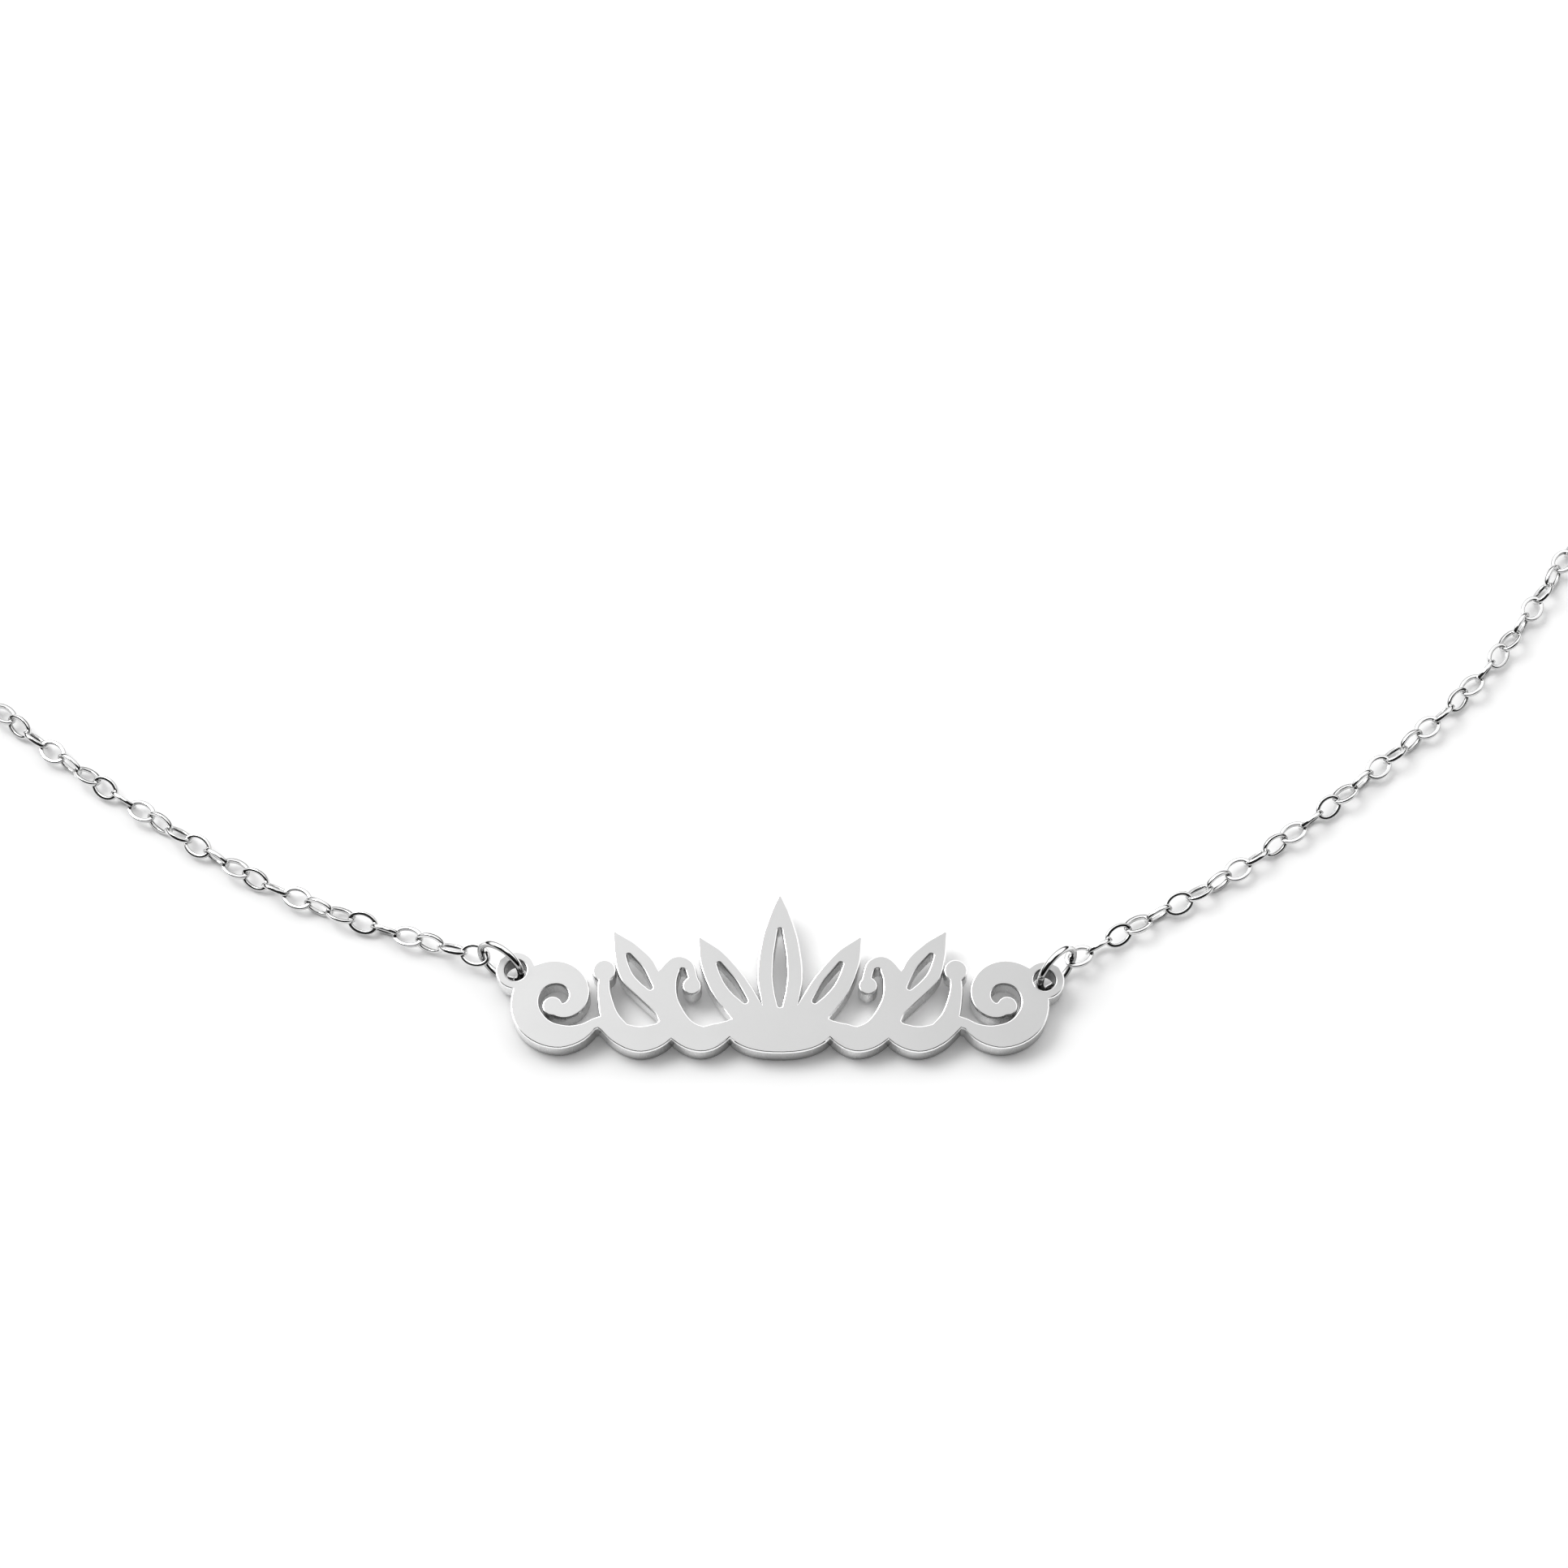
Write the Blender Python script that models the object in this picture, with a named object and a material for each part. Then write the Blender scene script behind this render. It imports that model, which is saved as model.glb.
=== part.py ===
"""Nameplate necklace, lying on a table as a whole closed loop.

An openwork plate, cut from thick sheet as a run of leaves and scrolls, hangs between two jump rings.
A fine cable chain runs from each ring round the loop to a clasp at the back.
The loop lies in the XY plane with the plate at the front (-Y), and +Z is up.
Lengths are in millimetres until a mesh is made.
"""
import math

import bmesh
import bpy
import numpy as np
from mathutils import Matrix, Vector
from mathutils.geometry import delaunay_2d_cdt

MM = 0.001

# The plate.
PLATE_WIDTH = 39.0
PLATE_HEIGHT = 11.6
PLATE_THICKNESS = 1.6
PLATE_FRONT_Y = -5.4
BAND_WIDTH = 1.8
OUTLINE_STEP = 0.2
SHORTEST_EDGE = 0.06
LONGEST_EDGE = 1.2
FLATNESS = 0.006
STROKE_END_SIDES = 12
BERRY_SIDES = 16

# The eyelets at the plate's ends, for the jump rings.
EYELET_RADIUS = 1.38
EYELET_HOLE_RADIUS = 0.75
EYELET_LIFT = 0.58
EYELET_SIDES = 28

# The round wire jump rings.
RING_WIRE = 0.5
RING_DIAMETER = 3.9
RING_BUTT_GAP = 0.14
RING_LEAN = math.radians(8.0)
RING_BUTT = {"left": math.radians(215.0), "right": math.radians(150.0)}
RING_CLEARANCE = 0.08
RING_SECTIONS = 24
RING_WIRE_SIDES = 8

# The flat wire links of the cable chain.
LINK_LENGTH = 2.25
LINK_WIDTH = 1.62
LINK_WIRE_IN_PLANE = 0.30
LINK_WIRE_ACROSS = 0.34
LINK_SOLDER = 0.05
LINK_SEGMENTS = 10
LINK_WIRE_SIDES = 5
LINK_CLEARANCE = 0.1
LINK_DROP = math.radians(25.0)
FLOOR_CLEARANCE = 0.02
PATH_STEP = 0.25

# The hidden stretch of chain, as a plain round run.
RUN_DIAMETER = 1.62
RUN_STEP = 4.2
RUN_GAP = 0.3

# The clasp, one plain piece.
CLASP_BODY_LENGTH = 5.4
CLASP_WIDTH = 4.2
CLASP_HEIGHT = 2.0
CLASP_SIDES = 32
CLASP_EYE_RADIUS = 1.25
CLASP_EYE_HOLE_RADIUS = 0.65
CLASP_EYE_THICKNESS = 0.7
CLASP_EYE_WALL = 0.3
CLASP_EYE_SIDES = 20
CLASP_Y = 121.6

# Leaves and swags of the plate. Each row is a name and the points of a centreline: out from the middle and
# up, as shares of the plate's half width and of its height, then the width as a share of the band's.
MIDDLE_STROKES = [
    ("middle_leaf", [(0.0, 0.08, 0.70), (0.0, 0.24, 1.15), (0.0, 0.46, 1.75), (0.0, 0.70, 1.45),
                     (0.0, 0.885, 0.75), (0.0, 0.98, 0.22)]),
    ("middle_swag", [(-0.166, 0.180, 0.46), (-0.140, 0.128, 0.88), (-0.06, 0.090, 1.06), (0.06, 0.090, 1.06),
                     (0.140, 0.128, 0.88), (0.166, 0.180, 0.46)]),
]
MIDDLE_SLOT = [(0.0, 0.30, 0.16), (0.0, 0.38, 0.38), (0.0, 0.48, 0.52), (0.0, 0.60, 0.46), (0.0, 0.69, 0.30),
               (0.0, 0.77, 0.15)]

# The right half's strokes, in the same columns, which the left half mirrors.
SIDE_STROKES = [
    ("flank_leaf", [(0.055, 0.10, 0.80), (0.125, 0.285, 1.34), (0.188, 0.445, 1.42), (0.242, 0.600, 1.00),
                    (0.282, 0.715, 0.22)]),
    ("curl", [(0.170, 0.180, 0.46), (0.212, 0.126, 0.90), (0.275, 0.090, 1.06), (0.345, 0.150, 1.08),
              (0.398, 0.305, 1.02), (0.400, 0.455, 0.86), (0.366, 0.560, 0.62), (0.322, 0.548, 0.44),
              (0.303, 0.455, 0.38)]),
    ("outer_leaf", [(0.40, 0.25, 0.60), (0.448, 0.375, 1.05), (0.500, 0.515, 1.48), (0.545, 0.645, 1.00),
                    (0.583, 0.750, 0.22)]),
    ("outer_swag", [(0.378, 0.225, 0.60), (0.412, 0.130, 0.92), (0.482, 0.088, 1.06), (0.552, 0.120, 0.92),
                    (0.618, 0.192, 0.58)]),
    ("tendril", [(0.535, 0.10, 0.80), (0.592, 0.22, 0.72), (0.616, 0.37, 0.54), (0.617, 0.48, 0.45)]),
    ("bridge", [(0.598, 0.200, 0.56), (0.642, 0.188, 0.46), (0.690, 0.145, 0.46)]),
]

# Slots pierced along the middle of the side leaves, in the same columns.
SIDE_SLOTS = [
    ("flank_slot", [(0.122, 0.325, 0.16), (0.147, 0.380, 0.33), (0.172, 0.440, 0.40), (0.194, 0.497, 0.31),
                    (0.214, 0.555, 0.15)]),
    ("outer_slot", [(0.455, 0.41, 0.16), (0.477, 0.46, 0.34), (0.498, 0.512, 0.42), (0.516, 0.560, 0.33),
                    (0.533, 0.608, 0.16)]),
]

# Round berries, in the same columns, with the radius as a share of the band's width.
BERRIES = [("tendril_berry", 0.618, 0.515, 0.46), ("curl_berry", 0.309, 0.420, 0.37)]

# The scroll at each end of the plate: out and up to its middle, outer and inner radius as shares of the
# height, turns inwards, and its eye's radius as a share of the band's width.
SCROLL = (0.775, 0.345, 0.262, 0.062, 1.24, 0.40)
SCROLL_START = math.radians(-143.0)
SCROLL_STEPS = 66

# The scroll's width along it, from its start to its eye, as shares of the band's width.
SCROLL_WIDTHS = [(0.0, 0.40), (0.05, 0.72), (0.11, 0.98), (0.22, 1.12), (0.50, 1.00), (1.0, 0.52)]

# How far up the eyelets' middles are, as shares of the plate's height.
EYELETS = {"left": 0.518, "right": 0.456}
SIDES = ("left", "right")

# The loop's route from each jump ring to the clasp: along the straight line between them and out from
# it, both as shares of that line's length.
LOOP_ROUTE = {
    "left": [(0.010, 0.049), (0.019, 0.091), (0.035, 0.143), (0.059, 0.195), (0.086, 0.249), (0.116, 0.302),
             (0.153, 0.356), (0.206, 0.413), (0.286, 0.467), (0.397, 0.512), (0.524, 0.532), (0.655, 0.521),
             (0.779, 0.467), (0.879, 0.372), (0.947, 0.248), (0.985, 0.116)],
    "right": [(0.022, 0.047), (0.038, 0.086), (0.057, 0.124), (0.079, 0.163), (0.110, 0.211),
              (0.139, 0.254), (0.171, 0.292), (0.207, 0.326), (0.250, 0.363), (0.309, 0.411),
              (0.386, 0.462), (0.476, 0.504), (0.586, 0.525), (0.703, 0.517), (0.813, 0.463),
              (0.899, 0.367), (0.957, 0.242), (0.985, 0.116)],
}
FRONT_LINKS = {"left": 26, "right": 32}
LINK_ROLL = {"left": (-24.0, 69.2), "right": (-5.0, -66.0)}
RING_HEADING = {"left": math.radians(147.0), "right": math.radians(45.0)}

STEEL = (0.74, 0.74, 0.75, 1.0)


def clear_scene():
    """Removes whatever the scene holds."""
    for item in list(bpy.data.objects):
        bpy.data.objects.remove(item, do_unlink=True)


def metal(name, colour, roughness):
    """Makes a metal material."""
    material = bpy.data.materials.new(name)
    material.use_nodes = True
    shader = material.node_tree.nodes["Principled BSDF"]
    shader.inputs["Base Color"].default_value = colour
    shader.inputs["Roughness"].default_value = roughness
    shader.inputs["Metallic"].default_value = 1.0
    material.diffuse_color = colour
    return material


def add_object(name, data, material, parent):
    """Links an object and gives it its material and parent."""
    data.materials.append(material)
    item = bpy.data.objects.new(name, data)
    item.parent = parent
    bpy.context.scene.collection.objects.link(item)
    return item


def add_empty(name, parent=None):
    """Links an empty that carries other objects."""
    item = bpy.data.objects.new(name, None)
    item.parent = parent
    bpy.context.scene.collection.objects.link(item)
    return item


def hand_of(side):
    """Gives the sign of X on one side of the necklace."""
    return -1.0 if side == "left" else 1.0


def smooth_curve(points, step):
    """Reads a smooth curve through the points about every step, as tuples of as many values."""
    rows = [Vector(p) for p in points]
    rows = [rows[0] * 2.0 - rows[1]] + rows + [rows[-1] * 2.0 - rows[-2]]
    curve = []
    for a, b, c, d in zip(rows, rows[1:], rows[2:], rows[3:]):
        count = max(2, round((c - b).length / step))
        for i in range(count):
            t = i / count
            curve.append(0.5 * (2.0 * b + (c - a) * t + (2.0 * a - 5.0 * b + 4.0 * c - d) * t * t
                                + (3.0 * b - a - 3.0 * c + d) * t ** 3))
    curve.append(rows[-2])
    return curve


def plate_point(hand, out, up):
    """Turns shares of the plate's half width and height into its own millimetres, on one hand."""
    return Vector((hand * out * 0.5 * PLATE_WIDTH, up * PLATE_HEIGHT))


def oval(middle, half_long, half_wide, sides):
    """Gives a many-sided oval as points."""
    angles = [2.0 * math.pi * i / sides for i in range(sides)]
    return [(middle[0] + half_long * math.cos(a), middle[1] + half_wide * math.sin(a)) for a in angles]


def disc(middle, radius, sides):
    """Gives a regular polygon as points."""
    return oval(middle, radius, radius, sides)


def hull_of_four(points):
    """Orders four points as their convex outline, so that a pinched piece of a stroke stays whole."""
    left, *rest = sorted(set(points))
    if len(rest) < 2:
        return []
    rest.sort(key=lambda p: math.atan2(p[1] - left[1], p[0] - left[0]))
    outline = [left]
    for p in rest:
        while len(outline) > 1:
            a, b = outline[-2], outline[-1]
            if (b[0] - a[0]) * (p[1] - b[1]) - (b[1] - a[1]) * (p[0] - b[0]) > 0.0:
                break
            outline.pop()
        outline.append(p)
    return outline if len(outline) > 2 else []


def stroke_pieces(curve):
    """Cuts a stroke of changing width into polygons, with a round piece at each end."""
    sides = []
    for i, (x, y, width) in enumerate(curve):
        before = curve[max(i - 1, 0)]
        after = curve[min(i + 1, len(curve) - 1)]
        along = Vector((after[0] - before[0], after[1] - before[1])).normalized()
        across = Vector((-along.y, along.x)) * (0.5 * max(width, SHORTEST_EDGE))
        sides.append(((x + across.x, y + across.y), (x - across.x, y - across.y)))
    pieces = [hull_of_four([*a, *b]) for a, b in zip(sides, sides[1:])]
    for x, y, width in (curve[0], curve[-1]):
        around = max(STROKE_END_SIDES, round(math.pi * width / OUTLINE_STEP))
        pieces.append(disc((x, y), 0.5 * width, around))
    return [piece for piece in pieces if piece]


def plate_stroke(hand, points):
    """Reads a table row's stroke on one hand and cuts it into polygons."""
    rows = [(*plate_point(hand, out, up), width * BAND_WIDTH) for out, up, width in points]
    return stroke_pieces(smooth_curve(rows, OUTLINE_STEP))


def scroll_pieces(hand):
    """Cuts the scroll on one hand into polygons, with a round eye at its inner end."""
    out, up, outer, inner, turns, eye = SCROLL
    middle = plate_point(hand, out, up)
    shares, widths = zip(*SCROLL_WIDTHS)
    curve = []
    for i in range(SCROLL_STEPS + 1):
        share = i / SCROLL_STEPS
        radius = (outer + (inner - outer) * share) * PLATE_HEIGHT
        angle = 2.0 * math.pi * turns * share + SCROLL_START
        width = float(np.interp(share, shares, widths)) * BAND_WIDTH
        across = middle.x + hand * radius * math.cos(angle)
        curve.append(Vector((across, middle.y + radius * math.sin(angle), width)))
    return stroke_pieces(curve) + [disc(curve[-1], eye * BAND_WIDTH, BERRY_SIDES)]


def inside(outline, across, up):
    """Tells which of many places lie inside an outline."""
    found = np.zeros(len(across), dtype=bool)
    for a, b in zip(outline, outline[1:] + outline[:1]):
        if a[1] != b[1]:
            level = (a[1] > up) != (b[1] > up)
            found ^= level & (across < a[0] + (b[0] - a[0]) * (up - a[1]) / (b[1] - a[1]))
    return found


def kept_triangles(solid, holes):
    """Overlays outlines in the plane and keeps the triangles inside a solid one and no hole."""
    points, edges = [], []
    for outline in solid + holes:
        first, count = len(points), len(outline)
        edges.extend((first + i, first + (i + 1) % count) for i in range(count))
        points.extend(Vector(p[:2]) for p in outline)
    result = delaunay_2d_cdt(points, edges, [], 0, 1e-5)
    middles = np.array([sum((result[0][i] for i in face), Vector((0.0, 0.0))) / 3.0 for face in result[2]])
    across, up = middles[:, 0], middles[:, 1]
    metal_there = np.zeros(len(middles), dtype=bool)
    for outline in solid:
        metal_there |= inside(outline, across, up)
    for outline in holes:
        metal_there &= ~inside(outline, across, up)
    return result[0], [face for face, there in zip(result[2], metal_there) if there]


def outline_loops(points, triangles):
    """Walks the border of a field of triangles, with the field on the left of each loop."""
    edges = {(a, b) for f in triangles for a, b in zip(f, f[1:] + f[:1])}
    following = {a: b for a, b in edges if (b, a) not in edges}
    loops = []
    while following:
        start, at = following.popitem()
        loop = [start]
        while at != start:
            loop.append(at)
            at = following.pop(at)
        loops.append([points[i] for i in loop])
    return loops


def tidy_loop(loop):
    """Drops points that crowd the one before, or that lie on a nearly straight stretch."""
    kept = [loop[0]]
    for point, after in zip(loop[1:], loop[2:] + loop[:1]):
        along = after - kept[-1]
        bulge = abs(along.cross(point - kept[-1])) / max(along.length, SHORTEST_EDGE)
        straight = along.length < LONGEST_EDGE and bulge < FLATNESS and along.dot(point - kept[-1]) > 0.0
        if (point - kept[-1]).length > SHORTEST_EDGE and not straight:
            kept.append(point)
    return kept


def signed_area(loop):
    """Gives twice a loop's area, negative for a clockwise one."""
    return sum(a.x * b.y - a.y * b.x for a, b in zip(loop, loop[1:] + loop[:1]))


def flat_solid(name, solid, holes, low, high):
    """Unites polygons in the plane and raises them into one plate between two heights."""
    loops = [tidy_loop(loop) for loop in outline_loops(*kept_triangles(solid, holes))]
    outer = [loop for loop in loops if signed_area(loop) > 0.0]
    inner = [loop for loop in loops if signed_area(loop) < 0.0 and len(loop) > 3]
    points, triangles = kept_triangles(outer, inner)
    shape = bmesh.new()
    levels = []
    for height in (low, high):
        levels.append([shape.verts.new((p.x * MM, p.y * MM, height * MM)) for p in points])
    bottom, top = levels
    edges = {(a, b) for f in triangles for a, b in zip(f, f[1:] + f[:1])}
    for face in triangles:
        shape.faces.new([bottom[i] for i in reversed(face)])
        shape.faces.new([top[i] for i in face])
    for a, b in edges:
        if (b, a) not in edges:
            shape.faces.new((bottom[a], bottom[b], top[b], top[a]))
    loose = [v for v in shape.verts if not v.link_faces]
    bmesh.ops.delete(shape, geom=loose, context="VERTS")
    mesh = bpy.data.meshes.new(name)
    shape.to_mesh(mesh)
    shape.free()
    return mesh


def eyelet_place(side):
    """Gives the place of an eyelet's middle on the flat plate."""
    return Vector((hand_of(side) * (0.5 * PLATE_WIDTH - EYELET_RADIUS), EYELETS[side] * PLATE_HEIGHT))


def plate_pieces():
    """Gives the polygons that make the plate, and those pierced through it."""
    solid, holes = [], plate_stroke(1.0, MIDDLE_SLOT)
    for _, points in MIDDLE_STROKES:
        solid.extend(plate_stroke(1.0, points))
    for side in SIDES:
        hand = hand_of(side)
        for _, points in SIDE_STROKES:
            solid.extend(plate_stroke(hand, points))
        for _, out, up, radius in BERRIES:
            solid.append(disc(plate_point(hand, out, up), radius * BAND_WIDTH, BERRY_SIDES))
        for _, points in SIDE_SLOTS:
            holes.extend(plate_stroke(hand, points))
        eyelet = eyelet_place(side)
        solid.extend(scroll_pieces(hand) + [disc(eyelet, EYELET_RADIUS, EYELET_SIDES)])
        holes.append(disc(eyelet, EYELET_HOLE_RADIUS, EYELET_SIDES))
    return solid, holes


def make_nameplate(parent):
    """Cuts the openwork plate and leans it from its lower edge to the lifted eyelets."""
    mesh = flat_solid("nameplate", *plate_pieces(), 0.0, PLATE_THICKNESS)
    plate = add_object("nameplate", mesh, metal("satin_steel", STEEL, 0.32), parent)
    plate.location = (0.0, PLATE_FRONT_Y * MM, 0.0)
    plate.rotation_euler = (plate_lean(), 0.0, 0.0)
    return plate


def plate_lean():
    """Gives the plate's lean: its lower edge is on the table, and its eyelets are on the rings."""
    return math.asin(EYELET_LIFT / (min(EYELETS.values()) * PLATE_HEIGHT))


def eyelet_middle(side):
    """Gives the place of an eyelet's middle, halfway through the leaning plate."""
    flat = eyelet_place(side).to_3d() + Vector((0.0, 0.0, 0.5 * PLATE_THICKNESS))
    turned = Matrix.Rotation(plate_lean(), 3, "X") @ flat
    return turned + Vector((0.0, PLATE_FRONT_Y, 0.0))


def ring_frame(side):
    """Gives a jump ring's middle and its three directions: towards the chain, up in its plane, across."""
    heading = RING_HEADING[side]
    along = Vector((math.cos(heading), math.sin(heading), 0.0))
    level = Vector((0.0, 0.0, 1.0)).cross(along)
    away = level if level.y > 0.0 else -level
    upward = Vector((0.0, 0.0, 1.0)) * math.cos(RING_LEAN) + away * math.sin(RING_LEAN)
    wire_radius = 0.5 * (RING_DIAMETER - RING_WIRE)
    seat = EYELET_HOLE_RADIUS - 0.5 * RING_WIRE - RING_CLEARANCE
    middle = eyelet_middle(side) + along * (wire_radius - seat)
    middle.z = wire_radius * math.cos(RING_LEAN) + 0.5 * RING_WIRE
    return middle, along, upward, along.cross(upward)


def make_jump_ring(side, parent):
    """Bends a jump ring from round wire, with its butt joint open by a hair."""
    name = "jump_ring_" + side
    middle, along, upward, across = ring_frame(side)
    wire_radius = 0.5 * (RING_DIAMETER - RING_WIRE)
    half_gap = 0.5 * RING_BUTT_GAP / wire_radius
    shape = bmesh.new()
    sections = []
    for i in range(RING_SECTIONS + 1):
        angle = RING_BUTT[side] + half_gap + 2.0 * (math.pi - half_gap) * i / RING_SECTIONS
        out = Vector((math.cos(angle), math.sin(angle), 0.0))
        section = []
        for j in range(RING_WIRE_SIDES):
            turn = 2.0 * math.pi * j / RING_WIRE_SIDES
            reach = wire_radius + 0.5 * RING_WIRE * math.cos(turn)
            point = out * reach + Vector((0.0, 0.0, 0.5 * RING_WIRE * math.sin(turn)))
            section.append(shape.verts.new(point * MM))
        sections.append(section)
    for a, b in zip(sections, sections[1:]):
        for j in range(RING_WIRE_SIDES):
            k = (j + 1) % RING_WIRE_SIDES
            shape.faces.new((a[j], b[j], b[k], a[k]))
    shape.faces.new(sections[0])
    shape.faces.new(reversed(sections[-1]))
    bmesh.ops.recalc_face_normals(shape, faces=shape.faces)
    mesh = bpy.data.meshes.new(name)
    shape.to_mesh(mesh)
    shape.free()
    mesh.shade_smooth()
    mesh.set_sharp_from_angle(angle=math.radians(50.0))
    ring = add_object(name, mesh, metal("polished_steel_" + side, STEEL, 0.08), parent)
    turn = Matrix((along, upward, across)).transposed()
    ring.rotation_euler = turn.to_euler()
    ring.location = middle * MM
    return ring


def link_pitch():
    """Gives the distance from link to link: each bears on the next and is fused to it by a hair."""
    return LINK_LENGTH - 2.0 * LINK_WIRE_IN_PLANE + LINK_SOLDER


def chain_height():
    """Gives the height of the chain's middle over the table."""
    return 0.5 * LINK_WIDTH + FLOOR_CLEARANCE


def first_joint(side):
    """Gives the place where the first link bears on the jump ring's far side."""
    middle, along, upward, _ = ring_frame(side)
    inner = 0.5 * RING_DIAMETER - RING_WIRE
    reach = inner - LINK_CLEARANCE - 0.5 * LINK_SOLDER
    return middle + (along * math.cos(LINK_DROP) - upward * math.sin(LINK_DROP)) * reach


def clasp_eye(side):
    """Gives the place of a clasp eye's middle."""
    out = 0.5 * CLASP_BODY_LENGTH + CLASP_EYE_WALL + CLASP_EYE_HOLE_RADIUS
    return Vector((hand_of(side) * out, CLASP_Y))


def clasp_joint(side):
    """Gives the place where the last link bears in the clasp's eye."""
    eye = clasp_eye(side)
    return Vector((eye.x + hand_of(side) * CLASP_EYE_HOLE_RADIUS, eye.y, 0.5 * CLASP_HEIGHT))


def chain_path(side):
    """Gives the whole path of one side's chain, as close points along a smooth curve."""
    start, end = first_joint(side), clasp_joint(side)
    line = (end - start).to_2d()
    outward = Vector((line.y, -line.x)) * hand_of(side)
    route = [start]
    for share, out in LOOP_ROUTE[side]:
        place = start.to_2d() + line * share + outward * out
        route.append(Vector((place.x, place.y, chain_height())))
    return smooth_curve(route + [end], PATH_STEP)


def points_along(path, places):
    """Reads the points at the given distances along a path of close points."""
    found, gone, places = [], 0.0, list(places)
    for a, b in zip(path, path[1:]):
        span = (b - a).length
        while places and places[0] <= gone + span:
            found.append(a.lerp(b, (places.pop(0) - gone) / span))
        gone += span
    return found + [path[-1]] * len(places)


def path_length(path):
    """Gives a path's length."""
    return sum((b - a).length for a, b in zip(path, path[1:]))


def add_link(shape, start, end, roll):
    """Adds one oval link of flat wire between two joints, turned about its length by the roll."""
    along = (end - start).normalized()
    level = Vector((0.0, 0.0, 1.0)).cross(along).normalized()
    upright = along.cross(level)
    wide = level * math.cos(roll) + upright * math.sin(roll)
    flat = upright * math.cos(roll) - level * math.sin(roll)
    middle = (start + end) * 0.5
    half_long = 0.5 * (LINK_LENGTH - LINK_WIRE_IN_PLANE)
    half_wide = 0.5 * (LINK_WIDTH - LINK_WIRE_IN_PLANE)
    sections = []
    for i in range(LINK_SEGMENTS):
        angle = 2.0 * math.pi * i / LINK_SEGMENTS
        centre = along * (half_long * math.cos(angle)) + wide * (half_wide * math.sin(angle))
        outward = (along * (half_wide * math.cos(angle)) + wide * (half_long * math.sin(angle))).normalized()
        section = []
        for j in range(LINK_WIRE_SIDES):
            turn = math.pi + 2.0 * math.pi * j / LINK_WIRE_SIDES
            offset = outward * (0.5 * LINK_WIRE_IN_PLANE * math.cos(turn))
            offset += flat * (0.5 * LINK_WIRE_ACROSS * math.sin(turn))
            section.append(shape.verts.new((middle + centre + offset) * MM))
        sections.append(section)
    for a, b in zip(sections, sections[1:] + sections[:1]):
        for j in range(LINK_WIRE_SIDES):
            k = (j + 1) % LINK_WIRE_SIDES
            shape.faces.new((a[j], a[k], b[k], b[j]))


def make_link_run(name, joints, rolls, parity):
    """Makes every other link of a run, as one mesh of separate links."""
    shape = bmesh.new()
    for i in range(parity, len(joints) - 1, 2):
        add_link(shape, joints[i], joints[i + 1], rolls[i])
    bmesh.ops.recalc_face_normals(shape, faces=shape.faces)
    mesh = bpy.data.meshes.new(name)
    shape.to_mesh(mesh)
    shape.free()
    return mesh


def make_front_chain(side, parent):
    """Makes the front links of one side, fused where they bear on each other."""
    name = "chain_" + side
    count = FRONT_LINKS[side]
    joints = points_along(chain_path(side), [i * link_pitch() for i in range(count + 1)])
    first, step = LINK_ROLL[side]
    rolls = [math.radians(first + step * i) for i in range(count)]
    steel = metal("chain_steel_" + side, STEEL, 0.12)
    chain = add_object(name, make_link_run(name, joints, rolls, 0), steel, parent)
    cutter = add_object(name + "_odd", make_link_run(name + "_odd", joints, rolls, 1), steel, parent)
    cutter.hide_render = True
    cutter.display_type = "WIRE"
    fuse = chain.modifiers.new("fuse", "BOOLEAN")
    fuse.operation = "UNION"
    fuse.object = cutter
    return chain


def make_hidden_run(side, parent):
    """Makes the plain run that stands for the hidden links, from the last front link to the clasp."""
    name = "chain_back_" + side
    path = chain_path(side)
    overhang = 0.5 * (LINK_LENGTH - link_pitch())
    start = FRONT_LINKS[side] * link_pitch() + overhang + RUN_GAP
    end = path_length(path) - (CLASP_EYE_RADIUS - CLASP_EYE_HOLE_RADIUS) - RUN_GAP
    count = round((end - start) / RUN_STEP)
    points = points_along(path, [start + (end - start) * i / count for i in range(count + 1)])
    curve = bpy.data.curves.new(name, "CURVE")
    curve.dimensions = "3D"
    curve.bevel_depth = 0.5 * RUN_DIAMETER * MM
    curve.bevel_resolution = 2
    curve.use_fill_caps = True
    spline = curve.splines.new("POLY")
    spline.points.add(len(points) - 1)
    for knot, point in zip(spline.points, points):
        knot.co = (*(point * MM), 1.0)
    return add_object(name, curve, metal("run_steel_" + side, STEEL, 0.12), parent)


def make_clasp(parent):
    """Makes the clasp: an oval body with a flat underside and a thin eye at each end."""
    body = oval((0.0, CLASP_Y), 0.5 * CLASP_BODY_LENGTH, 0.5 * CLASP_WIDTH, CLASP_SIDES)
    steel = metal("clasp_steel", STEEL, 0.12)
    clasp = add_object("clasp", flat_solid("clasp", [body], [], 0.0, CLASP_HEIGHT), steel, parent)
    low = 0.5 * (CLASP_HEIGHT - CLASP_EYE_THICKNESS)
    for side in SIDES:
        name = "clasp_eye_" + side
        ring = disc(clasp_eye(side), CLASP_EYE_RADIUS, CLASP_EYE_SIDES)
        hole = disc(clasp_eye(side), CLASP_EYE_HOLE_RADIUS, CLASP_EYE_SIDES)
        eye_mesh = flat_solid(name, [ring], [hole], low, low + CLASP_EYE_THICKNESS)
        eye = add_object(name, eye_mesh, steel, parent)
        eye.hide_render = True
        eye.display_type = "WIRE"
        join = clasp.modifiers.new(name, "BOOLEAN")
        join.operation = "UNION"
        join.object = eye
    return clasp


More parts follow.
